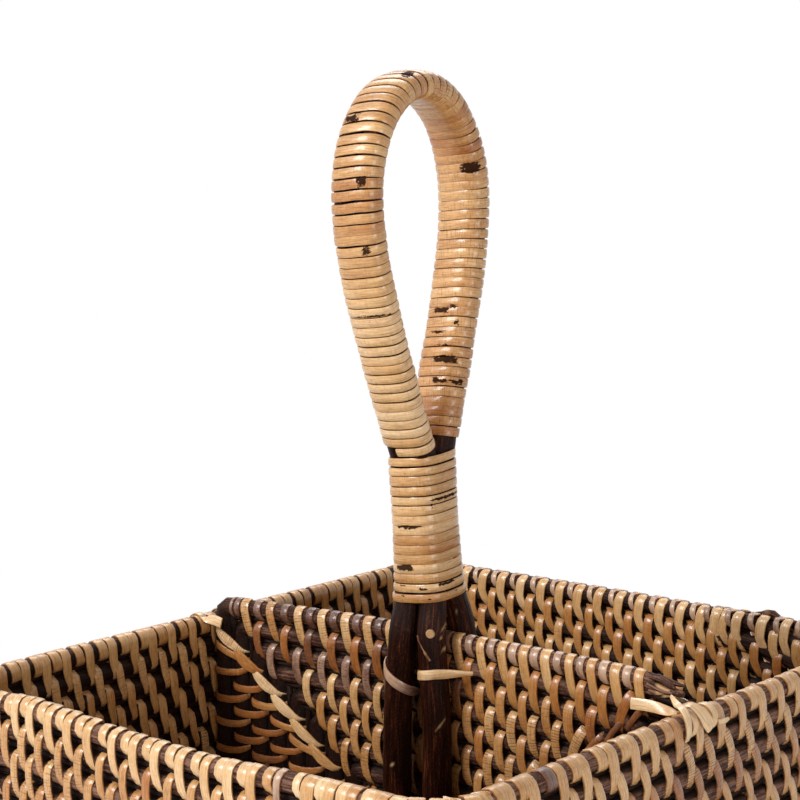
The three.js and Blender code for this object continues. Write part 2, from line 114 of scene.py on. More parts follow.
rim_low, rim_high = box_mm("rim_coil")
base_high = box_mm("base_coil")[1]
divider_low, divider_high = box_mm("divider_coil")
RIM_TOP = rim_high[2]
HALF_X = (rim_high[0] - rim_low[0] - BOUND_THICKNESS) / 2
HALF_Y = (rim_high[1] - rim_low[1] - BOUND_THICKNESS) / 2
RIM_LEVEL = RIM_TOP - (ROW_PITCH - ROW_GAP) / 2
FIRST_LEVEL = RIM_LEVEL - (ROWS - 1) * ROW_PITCH
BASE_LEVEL = base_high[2] / 2
DIVIDER_TOP = divider_high[2]
DIVIDER_BOTTOM = divider_low[2]
DIVIDER_DEPTH = divider_high[1]
LEG_OFFSET = DIVIDER_DEPTH + 0.3 + LEG_RADIUS

UP = np.array([0.0, 0.0, 1.0])
ALONG_X = np.array([1.0, 0.0, 0.0])
ALONG_Y = np.array([0.0, 1.0, 0.0])


def smooth(t):
    t = np.clip(t, 0, 1)
    return t * t * (3 - 2 * t)


def between(x, knots):
    """Value at x on the line through knots, pairs of a place and a value."""
    return np.interp(x, *zip(*knots))


def wander(x, wavelength, seed):
    """Smooth values from -1 to 1 along x, the same for the same seed."""
    knots = np.random.default_rng(seed).uniform(-1, 1, 2048)
    t = np.asarray(x, float) / wavelength
    i = np.floor(t).astype(int)
    f = smooth(t - i)
    return knots[i % 2048] * (1 - f) + knots[(i + 1) % 2048] * f


def unit(v):
    return v / np.maximum(np.linalg.norm(v, axis=-1, keepdims=True), 1e-9)


def lengths(points):
    """Distance along a line of points to each of them."""
    steps = np.linalg.norm(np.diff(points, axis=0), axis=1)
    return np.concatenate([[0.0], np.cumsum(steps)])


def resample(points, step):
    sums = lengths(points)
    at = np.linspace(0, sums[-1], max(int(sums[-1] / step), 2) + 1)
    return np.stack([np.interp(at, sums, points[:, i]) for i in range(3)], axis=1)


def column(value, line):
    """A number, or one number for each point of a line, as a column with a row for each point."""
    return np.broadcast_to(np.asarray(value, float), len(line))[:, None]


def swept(centre, hint, half_across, half_up, section):
    """A section moved along a line: its points, and how far across hint and along it each lies."""
    ahead = unit(np.gradient(centre, axis=0))
    across = unit(np.cross(hint, ahead))
    lift = np.cross(ahead, across)
    u = section[0] * column(half_across, centre)
    v = section[1] * column(half_up, centre)
    return centre[:, None] + across[:, None] * u[..., None] + lift[:, None] * v[..., None], u, v


def placed(name, data, place=(0, 0, 0), facing=None):
    """A new object in the scene. facing is the way a camera or a lamp looks."""
    made = bpy.data.objects.new(name, data)
    made.location = place
    if facing is not None:
        made.rotation_euler = facing.to_track_quat("-Z", "Y").to_euler()
    bpy.context.scene.collection.objects.link(made)
    return made


# Across and up: steep sides and a slightly crowned face
PEEL_SECTION = np.array([(1, 0.97, 0.7, 0, -0.7, -0.97, -1), (0, 0.62, 0.92, 1, 0.92, 0.62, 0)])


class Shapes:
    """Ribbons and tubes that become one mesh object."""

    def __init__(self):
        self.points, self.place, self.look = [], [], []
        self.quads, self.caps = [], []
        self.count = 0

    def rings(self, points, place, look):
        """Joins rings of points, (ring, point, xyz), each counterclockwise about the way they run."""
        rings, sides = points.shape[:2]
        grid = self.count + np.arange(rings * sides).reshape(rings, sides)
        after = np.roll(grid, -1, axis=1)
        self.quads.append(np.stack([grid[:-1], after[:-1], after[1:], grid[1:]], axis=-1).reshape(-1, 4))
        self.caps += [grid[0][::-1].tolist(), grid[-1].tolist()]
        self.points.append(points.reshape(-1, 3))
        for kept, three in ((self.place, place), (self.look, look)):
            kept.append(np.stack([np.broadcast_to(x, grid.shape) for x in three], axis=-1).reshape(-1, 3))
        self.count += rings * sides

    def ribbon(self, centre, outward, half_width, thickness, seed, tone, stain=0.0, cracks=0.3):
        """A strip of peel. centre runs along its underside."""
        points = swept(centre, outward, half_width, thickness, PEEL_SECTION)[0]
        place = PEEL_SECTION[0] * 1.8, column(lengths(centre), centre), seed
        self.rings(points, place, [column(x, centre) for x in (tone, stain, cracks)])

    def tube(self, centre, half_across, half_up, hint, seed, tone, stain=0.0, sides=12, along=0.0,
             painted_groove_shade=(1, 0.0, 0.0), painted_inner_shade=0.0):
        """A rod of oval section, its half sizes given across hint and along it. The argument after along sets
        painted shade on the sides next to other rods:
        the axis, 0 across hint or 1 along it, then how dark each of its two sides is painted. The last
        argument tells how dark painted shade makes the side that faces into the basket."""
        angle = np.arange(sides) * 2 * np.pi / sides
        section = np.cos(angle), np.sin(angle)
        points, u, v = swept(centre, hint, half_across, half_up, section)
        axis, before, after = painted_groove_shade
        turned = section[axis]
        # Painted shade: how far the bark is painted dark on the sides next to other rods and on the side
        # facing into the basket
        dark = np.where(turned < 0, column(before, centre), column(after, centre)) * np.abs(turned)
        dark = np.maximum(dark, painted_inner_shade * np.sqrt(np.maximum(section[0], 0)))
        # The bark reads its place in space across the rod, so that it has no seam
        place = u + seed * 3.7, column(along + lengths(centre), centre), v + seed * 1.3
        self.rings(points, place, (column(tone, centre), column(stain, centre), dark))

    def bend(self, offset):
        """Moves every point made so far by offset(points)."""
        self.points = [points + offset(points) for points in self.points]

    def make(self, name, replaces, slot):
        """The object, riding on the one body. It stands for the nodes that replaces names."""
        material, sharp = FINISHES[slot]
        points = np.concatenate(self.points) * MM
        mesh = bpy.data.meshes.new(name)
        mesh.from_pydata(points.tolist(), [], np.concatenate(self.quads).tolist() + self.caps)
        for label, values in (("place", self.place), ("look", self.look)):
            layer = mesh.attributes.new(label, "FLOAT_VECTOR", "POINT")
            layer.data.foreach_set("vector", np.concatenate(values).astype(np.float32).ravel())
        mesh.polygons.foreach_set("use_smooth", np.ones(len(mesh.polygons), bool))
        mesh.set_sharp_from_angle(angle=math.radians(sharp))
        mesh.materials.append(material)
        mesh.update()
        made = placed(name, mesh)
        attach(made, "root")
        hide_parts(*replaces)


def srgb(red, green, blue):
    """A colour as a picture shows it, turned into the linear values that shaders take."""
    linear = [((c / 255 + 0.055) / 1.055) ** 2.4 if c > 10 else c / 255 / 12.92 for c in (red, green, blue)]
    return (*linear, 1.0)


class Paint:
    """The nodes of a material or a world, and a short way to add to them."""

    def __init__(self, owner):
        owner.use_nodes = True
        self.owner = owner
        self.tree = owner.node_tree
        self.surface = self.tree.nodes.get("Principled BSDF")

    def node(self, kind, inputs=(), **settings):
        made = self.tree.nodes.new(kind)
        for key, value in settings.items():
            setattr(made, key, value)
        for key, value in dict(inputs).items():
            self.set(made.inputs[key], value)
        return made

    def set(self, socket, value):
        if isinstance(value, bpy.types.NodeSocket):
            self.tree.links.new(value, socket)
        else:
            socket.default_value = value

    def attribute(self, name):
        """The three numbers of a vector attribute."""
        read = self.node("ShaderNodeAttribute", attribute_name=name)
        parts = self.node("ShaderNodeSeparateXYZ", {"Vector": read.outputs["Vector"]})
        return [parts.outputs[axis] for axis in "XYZ"]

    def sum(self, operation, *values):
        return self.node("ShaderNodeMath", dict(enumerate(values)), operation=operation).outputs[0]

    def times(self, a, b):
        return self.sum("MULTIPLY", a, b)

    def vary(self, value, noise, strength):
        """value, raised or lowered by noise about 0.5."""
        return self.sum("MULTIPLY_ADD", self.sum("SUBTRACT", noise, 0.5), strength, value)

    def noise(self, place, scales, detail=2.0, roughness=0.5):
        """Noise, with a scale for each of the three numbers of place."""
        scaled = [self.times(axis, scale) for axis, scale in zip(place, scales)]
        joined = self.node("ShaderNodeCombineXYZ", dict(zip("XYZ", scaled)))
        inputs = {"Vector": joined.outputs[0], "Scale": 1.0, "Detail": detail, "Roughness": roughness}
        return self.node("ShaderNodeTexNoise", inputs).outputs["Fac"]

    def span(self, value, low, high, to_low=0.0, to_high=1.0):
        inputs = {"Value": value, "From Min": low, "From Max": high, "To Min": to_low, "To Max": to_high}
        return self.node("ShaderNodeMapRange", inputs, clamp=True, interpolation_type="SMOOTHSTEP").outputs[0]

    def ramp(self, value, stops):
        made = self.node("ShaderNodeValToRGB", {"Fac": value})
        elements = made.color_ramp.elements
        for i, (position, shown) in enumerate(stops):
            stop = elements[i] if i < 2 else elements.new(position)
            stop.position, stop.color = position, srgb(*shown)
        return made.outputs["Color"]

    def blend(self, factor, first, second, mode="MIX"):
        made = self.node("ShaderNodeMix", data_type="RGBA", blend_type=mode)
        for key, value in (("Factor", factor), ("A", first), ("B", second)):
            self.set([s for s in made.inputs if s.name == key and s.enabled][0], value)
        return [s for s in made.outputs if s.enabled][0]

    def cover(self, colour, where, share, shown):
        """colour with another one laid over it, where one shows and by how much."""
        return self.blend(self.times(where, share), colour, srgb(*shown))

    def finish(self, colour, roughness, height, distance, strength, specular):
        bump = self.node("ShaderNodeBump", {"Height": height, "Distance": distance, "Strength": strength})
        for name, value in (("Base Color", colour), ("Roughness", roughness), ("Normal", bump.outputs[0])):
            self.set(self.surface.inputs[name], value)
        self.surface.inputs["Specular IOR Level"].default_value = specular
        return self.owner

    def shown(self):
        """1 for rays that show a thing, also in a reflection or through glass."""
        path = self.node("ShaderNodeLightPath").outputs
        seen = self.sum("MAXIMUM", path["Is Camera Ray"], path["Is Glossy Ray"])
        return self.sum("MAXIMUM", seen, path["Is Transmission Ray"])

    def end(self, output, factor, first, second):
        mixed = self.node("ShaderNodeMixShader", {0: factor, 1: first.outputs[0], 2: second.outputs[0]})
        self.set(self.tree.nodes[output].inputs["Surface"], mixed.outputs[0])


# Tone of the peel: straw at 0 over orange-brown and dark brown to weathered grey at 1.3 and its palest
PALEST_GREY = 1.5
PEEL_TONES = ((0.0, (239, 201, 153)), (0.28, (215, 167, 110)), (0.5, (190, 134, 76)), (0.68, (170, 104, 50)),
              (0.84, (126, 78, 50)), (1.0, (88, 56, 42)), (1.15, (124, 87, 70)), (1.3, (172, 136, 111)),
              (PALEST_GREY, (208, 170, 138)))


def peel_material():
    """Flat strips of cane skin: fine fibres, cross cracks, dark stains."""
    paint = Paint(bpy.data.materials.new("peel"))
    place = paint.attribute("place")
    tone, stain, cracks = paint.attribute("look")
    patches = paint.noise(place, (0.12, 0.035, 1.7), 3)
    fibres = paint.noise(place, (3.4, 0.16, 1.3), 3, 0.6)
    speckle = paint.noise(place, (0.9, 0.6, 2.3), 3, 0.6)
    rungs = paint.noise(place, (0.2, 1.7, 0.9), 2, 0.5)
    blot = paint.noise(place, (1.1, 0.6, 3.1), 4, 0.65)

    shade = paint.vary(paint.vary(tone, patches, 0.6), speckle, 0.34)
    stops = [(tone_at / PALEST_GREY, shown) for tone_at, shown in PEEL_TONES]
    colour = paint.ramp(paint.sum("DIVIDE", shade, PALEST_GREY), stops)
    # The strips' steep sides are darkened to orange-brown: partly the cut edge's own colour, partly painted
    # shade between neighbouring strips
    edge = paint.span(paint.sum("ABSOLUTE", place[0]), 1.68, 1.77)
    colour = paint.cover(colour, edge, 0.75, (138, 86, 44))
    colour = paint.blend(1.0, colour, paint.span(fibres, 0.3, 0.7, 0.76, 1.12), "MULTIPLY")
    ladder = paint.sum("SINE", paint.times(place[1], 6.8))
    regular = paint.times(paint.times(cracks, cracks), 0.13)
    rung = paint.times(paint.span(paint.sum("ADD", paint.times(ladder, regular), rungs), 0.54, 0.64), cracks)
    colour = paint.cover(colour, rung, 0.6, (112, 66, 32))
    dark = paint.span(paint.vary(stain, blot, 1.9), 0.42, 0.6)
    colour = paint.cover(colour, dark, 0.97, (40, 18, 12))
    colour = paint.cover(colour, paint.span(speckle, 0.7, 0.76), 0.5, (96, 60, 36))

    roughness = paint.sum("MULTIPLY_ADD", dark, 0.3, paint.span(fibres, 0.3, 0.7, 0.22, 0.4))
    height = paint.sum("ADD", paint.times(fibres, 0.6), paint.times(rung, -0.5))
    # The dark marks have less gloss
    for name, gloss, loss in (("Coat Weight", 0.42, -0.42), ("Specular IOR Level", 0.4, -0.36)):
        paint.set(paint.surface.inputs[name], paint.sum("MULTIPLY_ADD", dark, loss, gloss))
    paint.surface.inputs["Coat Roughness"].default_value = 0.14
    return paint.finish(colour, roughness, height, 0.0003, 0.6, 0.4)


def bark_material(name, deep, mid, pale, roughness, specular):
    """Rod or cane with its bark on: streaked along, with pale flecks that are partly scuffs and partly
    painted glints.
    """
    paint = Paint(bpy.data.materials.new(name))
    place = paint.attribute("place")
    shade, stain, painted_groove_shade = paint.attribute("look")
    streaks = paint.noise(place, (1.5, 0.1, 1.5), 4, 0.6)
    fine = paint.noise(place, (3.4, 1.3, 3.4), 3, 0.65)
    cloud = paint.noise(place, (0.3, 0.045, 0.3), 2)
    for noise, strength in ((streaks, 2.0), (cloud, 0.9), (fine, 1.1)):
        shade = paint.vary(shade, noise, strength)
    colour = paint.ramp(shade, [(0.12, deep), (0.55, mid), (0.95, pale)])
    # Pale flecks: partly scuffs on the bark, partly painted glints
    colour = paint.cover(colour, paint.span(fine, 0.6, 0.7), 0.5, pale)
    colour = paint.blend(paint.span(stain, 0.2, 0.8), colour, srgb(200, 160, 116))
    # Painted shade: the sides next to other rods and the side facing into the basket go nearly black
    colour = paint.blend(paint.span(painted_groove_shade, 0.4, 0.92, 0.0, 0.94), colour, srgb(15, 5, 2))
    height = paint.sum("ADD", streaks, paint.times(fine, 0.4))
    return paint.finish(colour, roughness, height, 0.0005, 0.8, specular)


# Material of each slot, and from how many degrees on its edges are sharp
FINISHES = {
    "rattan_peel": (peel_material(), 50),
    "rattan_rod": (bark_material("rod_bark", (28, 11, 5), (70, 41, 29), (136, 100, 82), 0.55, 0.12), 60),
    "handle_cane": (bark_material("cane_bark", (17, 5, 2), (44, 16, 7), (104, 56, 33), 0.4, 0.09), 60),
}

# How a strip goes round two rods: round the upper one, down the face, round the lower one and back.
# angle turns from the side away from the lower rod towards the outer face, share is how far down from the
# upper rod to the lower one, and ahead, given by the keys, is how far it has moved on to the next stitch.
LONG_KEYS = ((0, 0.06), (0.143, 0), (0.26, 0.0), (0.381, 0.07), (0.43, 0.16), (0.5, 0.28), (0.619, 0.42),
             (0.738, 0.6), (0.857, 0.73), (0.952, 0.8), (1, 1.06))
RIM_LONG_KEYS = ((0, 0.03), (0.143, 0), (0.26, 0.0), (0.381, 0.06), (0.43, 0.14), (0.5, 0.25), (0.619, 0.36),
                 (0.738, 0.52), (0.857, 0.58), (1, 0.6))
RIM_SHORT_KEYS = ((0, 0.6), (0.25, 0.63), (0.5, 0.8), (0.75, 0.98), (1, 1.03))
# The strip narrows where it goes under the lower rod; on some walls its upper part also leans back
STITCH_WIDTHS = ((0, 1), (0.16, 1), (0.38, 0.93), (0.43, 0.84), (0.476, 0.62), (0.524, 0.5), (0.571, 0.66),
                 (0.619, 0.84), (0.8, 1), (1, 1))
STITCH_LEAN = ((0, -1), (0.143, -0.65), (0.21, -0.25), (0.28, 0), (0.381, -0.2), (0.43, -0.4), (0.5, -0.3),
               (0.6, 0), (0.7, 0), (0.857, -0.5), (1, -1))


def turn_profile(keys):
    """Over the upper rod, down the outer face, under the lower rod and up the inner face."""
    top, under, rest = [0, 30, 60, 90], [90, 125, 160, 200, 235, 270], [270, 300, 330]
    angle = np.radians(top + [90] * 4 + under + [270] * 4 + rest)
    fall = [0.2, 0.4, 0.6, 0.8]
    share = np.array([0] * 4 + fall + [1] * 6 + fall[::-1] + [0] * 3)
    where = np.arange(len(angle)) / len(angle)
    return {"angle": angle, "share": share, "short": 0 * angle, "ahead": between(where, keys),
            "lean": between(where, STITCH_LEAN), "width": between(where, STITCH_WIDTHS)}


def ring_profile(keys):
    """Once round the upper rod alone."""
    flat = np.ones(12)
    return {"angle": np.radians(np.arange(0, 360, 30)), "share": 0 * flat, "short": flat,
            "ahead": between(np.arange(12) / 12, keys), "lean": -0.5 * flat, "width": flat}


def join_profiles(first, second):
    return {key: np.concatenate([first[key], second[key]]) for key in first}


LONG = turn_profile(LONG_KEYS)


def wind(shapes, rows, reach, profile, seed, tone, half_width, stain, cracks, lean=0.0, short_tone=0.0,
         short_width=1.0, leaf=0.0, left_off=0):
    """One strip that goes once round the rods at each of rows: upper and lower rod, the way ahead and the
    outer side. reach is how far it lies from the rods' centres: outward and upward on the upper rod, then
    both on the lower one. lean is how far stitches lean back, as a share of the way to the next. leaf, 0 to
    1, makes a stitch narrow at its ends. left_off is how many points the strip's end is short of a stitch."""
    upper, lower, ahead, outer = rows
    angle, share, short = profile["angle"], profile["share"], profile["short"]
    count, steps = len(upper), len(angle)
    down = unit(lower - upper)
    step = np.linalg.norm(np.diff(upper, axis=0), axis=1)
    pitch = np.append(step, step[-1])[:, None]
    jitter = np.random.default_rng(seed).uniform(-1, 1, (3, count + 1))
    part = np.arange(steps) / steps
    leaf, leafy = column(leaf, upper), np.sin(2 * np.pi * part) ** 2

    def eased(values):
        return values[:-1, None] * (1 - part) + values[1:, None] * part

    top_out, top_up, low_out, low_up = [column(r, upper) for r in reach]
    out = top_out + (low_out - top_out) * share**2 + 0.15 * np.sin(np.pi * share) + eased(jitter[1]) * 0.08
    out = out + 0.3 * leaf * leafy
    up = top_up + (low_up - top_up) * share
    moved = (profile["ahead"] + column(lean, upper) * profile["lean"] + eased(jitter[0]) * 0.05) * pitch
    sideways, upright = np.sin(angle)[:, None], -np.cos(angle)[:, None]
    normal = outer[:, None] * sideways + down[:, None] * upright
    centre = upper[:, None] + (lower - upper)[:, None] * share[:, None]
    centre = centre + outer[:, None] * sideways * out[..., None] + down[:, None] * upright * up[..., None]
    centre = centre + ahead[:, None] * moved[..., None]
    narrowed = 1 + (column(short_width, upper) - 1) * short
    widths = profile["width"] * column(half_width, upper) * (1 + eased(jitter[2]) * 0.12) * narrowed
    widths = widths * (1 + leaf * (leafy - 0.45))
    tones = column(tone, upper)[:, 0]
    tones = eased(np.append(tones, tones[-1])) + column(short_tone, upper) * short
    kept = slice(0, count * steps - left_off)
    centre, normal = [points.reshape(-1, 3)[kept] for points in (centre, normal)]
    widths, tones = [values.ravel()[kept] for values in (widths, tones)]
    shapes.ribbon(centre, normal, widths, PEEL_THICKNESS, seed, tones, stain[kept], cracks[kept])


def strip_tone(count, seed, middle, spread):
    """Tone of each stitch of a strip: it changes slowly, with odd stitches darker."""
    i = np.arange(count)
    odd = np.where(np.random.default_rng(seed + 2).uniform(size=count) < 0.04, 0.22, 0.0)
    return middle + wander(i, 23, seed) * spread + wander(i, 1.7, seed + 1) * 0.07 + odd


def crack_share(count, seed):
    """How plainly cross cracks show along a strip: plain on some stretches, hardly on others."""
    return np.clip(0.3 + 0.9 * wander(np.arange(count), 260, seed + 5), 0.1, 1)


def strip_stain(count, steps, seed, chance=0.03):
    """Dark node marks: on a few stitches, short stretches of them."""
    rng = np.random.default_rng(seed)
    stain = np.zeros(count * steps)
    for at in np.flatnonzero(rng.uniform(size=count) < chance):
        middle = at * steps + rng.uniform(0, steps)
        stain += 0.75 * np.exp(-(((np.arange(count * steps) - middle) / 1.6) ** 2))
    return np.clip(stain, 0, 1)


# Basket walls: a coil of level turns round a rectangle with round corners
FLAT_X, FLAT_Y = HALF_X - CORNER_RADIUS, HALF_Y - CORNER_RADIUS
STRAIGHTS = (FLAT_X + (FLAT_X - STEP_LENGTH), 2 * FLAT_Y, 2 * FLAT_X, 2 * FLAT_Y, STEP_LENGTH)
QUARTER = math.pi / 2 * CORNER_RADIUS
TURN = sum(STRAIGHTS) + 4 * QUARTER
STITCH = TURN / STITCHES_PER_TURN


def stitch_place(i):
    """Distance along the wall's coil to stitch number i."""
    turn = np.floor((i - 0.5) / STITCHES_PER_TURN)
    places = (*STITCH_PLACES, (0.5 + STITCHES_PER_TURN, STITCH_PLACES[0][1] + TURN))
    return turn * TURN + between(i - turn * STITCHES_PER_TURN, places)


def outline_pieces():
    """Length, bend, start point and start heading of the pieces of a turn, from the end of the step."""
    point = np.array([FLAT_X - STEP_LENGTH, HALF_Y])
    heading = math.pi
    pieces = []
    for i, straight in enumerate(STRAIGHTS):
        pieces.append((straight, 0.0, point, heading))
        point = point + straight * np.array([math.cos(heading), math.sin(heading)])
        if i < 4:
            pieces.append((QUARTER, 1 / CORNER_RADIUS, point, heading))
            turned = heading + math.pi / 2
            point = point + CORNER_RADIUS * np.array([
                math.sin(turned) - math.sin(heading), math.cos(heading) - math.cos(turned)
            ])
            heading = turned
    return [np.array(values) for values in zip(*pieces)]


PIECE_LENGTHS, PIECE_BENDS, PIECE_POINTS, PIECE_HEADINGS = outline_pieces()
PIECE_STARTS = np.concatenate([[0.0], np.cumsum(PIECE_LENGTHS)])


def flat_place(s):
    """Point, heading and outward side in plan, at distance s along the coil."""
    r = np.mod(s, TURN)
    which = np.clip(np.searchsorted(PIECE_STARTS, r, side="right") - 1, 0, len(PIECE_BENDS) - 1)
    d = r - PIECE_STARTS[which]
    bend, start, heading = PIECE_BENDS[which], PIECE_POINTS[which], PIECE_HEADINGS[which]
    turned = heading + bend * d
    safe = np.where(bend > 0, bend, 1.0)
    x = np.where(bend > 0, (np.sin(turned) - np.sin(heading)) / safe, d * np.cos(heading))
    y = np.where(bend > 0, (np.cos(heading) - np.cos(turned)) / safe, d * np.sin(heading))
    zero = np.zeros_like(turned)
    point = np.stack([start[:, 0] + x, start[:, 1] + y, zero], axis=1)
    ahead = np.stack([np.cos(turned), np.sin(turned), zero], axis=1)
    outer = np.stack([np.sin(turned), -np.cos(turned), zero], axis=1)
    return point, ahead, outer


def on_rim(s):
    """1 on the rim turn and 0 below it."""
    return smooth((s - (ROWS - 1) * TURN + STEP_LENGTH) / STEP_LENGTH)


def wall_place(s):
    """Centre, heading and outward side of the wall rod at distance s along its coil."""
    s = np.asarray(s, float)
    point, ahead, outer = flat_place(s)
    turn = np.floor(s / TURN)
    climb = smooth((np.mod(s, TURN) - (TURN - STEP_LENGTH)) / STEP_LENGTH)
    turns_up = np.clip(np.where(s < 0, 0, turn + climb), 0, ROWS - 1)
    point = point + outer * (wander(s, 55, 11) * 0.3)[:, None]
    point[:, 2] = FIRST_LEVEL + ROW_PITCH * turns_up + wander(s, 40, 12) * 0.15 - RIM_SINK * on_rim(s)
    point[:, 2] += between(np.mod(s, TURN), RIM_WAVES) * smooth((turns_up - 6) / 6)
    point[:, 2] += smooth((outer[:, 1] - 0.5) * 2) * between(turns_up, FAR_RIGHT_LIFT)
    return point, ahead, outer


def rod_below(s):
    """Centre of what lies below the wall rod at s: the turn before it, or the base's outer loop."""
    base = flat_place(s)[0]
    base[:, 2] = BASE_LEVEL
    return np.where((s < TURN - SCARF_LENGTH)[:, None], base, wall_place(s - TURN)[0])


# The rod's very end lies on top of the rim, cut rough
ROD_TIP = ((52.5, 129.6, 118.4), (55.0, 129.8, 118.7), (57.4, 130.0, 119.2), (59.8, 130.0, 119.1),
           (62.3, 130.2, 117.9))
TIP_RADIUS = (0.35, 0.6, 1.15, 1.35, 0.9)


def wall_rods(turn_from, turn_to):
    shapes = Shapes()
    start = -SCARF_LENGTH if turn_from == 0 else turn_from * TURN
    end = ROWS * TURN - STEP_LENGTH + SCARF_LENGTH if turn_to == ROWS else turn_to * TURN
    s = np.linspace(start, end, int((end - start) / 4.5))
    centre, _, outer = wall_place(s)
    point = centre.copy()
    thick = 1 + wander(s, 30, 13) * 0.05
    if turn_from == 0:
        grown = 0.15 + 0.85 * smooth((s + SCARF_LENGTH) / SCARF_LENGTH)
        point[:, 2] -= ROD_HALF_HEIGHT * (1 - grown)
        thick = thick * grown
    if turn_to == ROWS:
        left = 1 - 0.75 * smooth((s - end + SCARF_LENGTH) / SCARF_LENGTH)
        point[:, 2] += ROD_HALF_HEIGHT * (1 - left)
        thick = thick * left
        stain = [0.1, 0.2, 0.5, 0.2, 0.3]
        shapes.tube(np.array(ROD_TIP), TIP_RADIUS, TIP_RADIUS, UP, 22.0, 0.5, stain, sides=7)
    # Painted light: the bark is painted paler on the two near walls and the far right one, the lit walls,
    # least so low down where shade falls
    painted_wall_light = smooth((np.maximum(outer[:, 0], np.abs(outer[:, 1])) - 0.5) * 3)
    tone = 0.3 + 0.33 * painted_wall_light * smooth((s / TURN - 3) / 5) + wander(s, 300, 14) * 0.15
    # Painted shade darkens the rod's lower side and, below the rim's top, its upper side, where the rows
    # touch, and nearly blackens its side facing into the basket
    shapes.tube(point, ROD_HALF_WIDTH * thick, ROD_HALF_HEIGHT * thick, UP, 1.0, tone, along=start,
                painted_groove_shade=(1, 1.0, 1 - on_rim(s)), painted_inner_shade=0.82)
    # The strips that cross between two rods fill the gap there: a dark core, coloured as painted shade,
    # stands for what shows of it
    shapes.tube(centre - UP * ROW_PITCH / 2, 1.2, 1.35, UP, 1.0, -0.4, sides=8)
    return shapes


OUTER_REACH = ROD_HALF_WIDTH + 0.05
LOW_REACH = ROD_HALF_WIDTH - 0.35
UP_REACH = ROD_HALF_HEIGHT + 0.05
WALL_END = ROWS - 1 - 16 / TURN
RIM_START = ROWS - 1 - 8 / TURN
RIM_END = ROWS + 0.01


def wall_stitches(turn_from, turn_to, seed, uneven):
    """The strip's stitches between two turns: the distance along the coil, rows and reach for wind, how far
    each stitch is on the near left, near right, far left and far right wall, its half width and lean."""
    i = np.arange(math.ceil(turn_from * STITCHES_PER_TURN), math.ceil(turn_to * STITCHES_PER_TURN))
    s = stitch_place(i + wander(i, 1.6, seed) * uneven)
    # Where the last turn but one steps up, its stitches lie between those of the rim above
    s = s - 3.0 * smooth((s - (ROWS - 1) * TURN + STEP_LENGTH + 12) / 12) * (s < RIM_START * TURN)
    upper, ahead, outer = wall_place(s)
    lower = rod_below(s)
    row_down = upper[:, 2] - ROW_PITCH + RIM_SINK
    lower[:, 2] = np.where(s > (ROWS - 1) * TURN, np.minimum(lower[:, 2], row_down), lower[:, 2])
    reach = OUTER_REACH, UP_REACH, LOW_REACH, np.where(s < TURN - SCARF_LENGTH, 2.9, UP_REACH)
    sides = [smooth((side - 0.5) * 3) for side in (-outer[:, 1], outer[:, 0], -outer[:, 0], outer[:, 1])]
    near_left, near_right, _, far_right = sides
    half_width = PEEL_HALF_WIDTH - 0.2 * near_left + 0.12 * near_right
    lean = 0.2 + 0.1 * near_right - 0.2 * near_left + 0.12 * far_right
    return s, (upper, lower, ahead, outer), reach, sides, half_width, lean


# Stretches of the turn whose cross cracks look like ladders: strength, start and end, and how fast they fade
LADDERS = ((0.85, 425, 478, 12, 14), (1.2, 700, 800, 20, 30))


def ladder_share(s):
    """How plainly such cracks show. They are on the second and third row from the top."""
    place, rows_down = np.mod(s, TURN), ROWS - s / TURN
    shares = [strength * smooth((place - start) / fade_in) * smooth((end - place) / fade_out)
              for strength, start, end, fade_in, fade_out in LADDERS]
    return np.maximum(*shares) * smooth((rows_down - 0.75) * 6) * smooth((2.9 - rows_down) * 6)


def wall_binding(turn_from, turn_to, seed):
    """The strip that holds each wall turn to the one below it."""
    shapes = Shapes()
    s, rows, reach, sides, half_width, lean = wall_stitches(turn_from, min(turn_to, WALL_END), 21, 0.07)
    near_left, _, far_left, far_right = sides
    tone = strip_tone(len(s), seed, 0.4, 0.2) + 0.06 * near_left + 0.08 * (far_left + far_right)
    steps = len(LONG["angle"])
    stain = strip_stain(len(s), steps, seed)
    cracks = np.maximum(crack_share(len(stain), seed), np.repeat(ladder_share(s), steps))
    wind(shapes, rows, reach, LONG, seed, tone, half_width, stain, cracks, lean)
    return shapes


# Along the rim's turn: where its stitches become broad and close, a greyed one, and a dark short turn
CLOSE_FROM = 550
GREYED_AT = 550.6
DARK_AT = 638.2


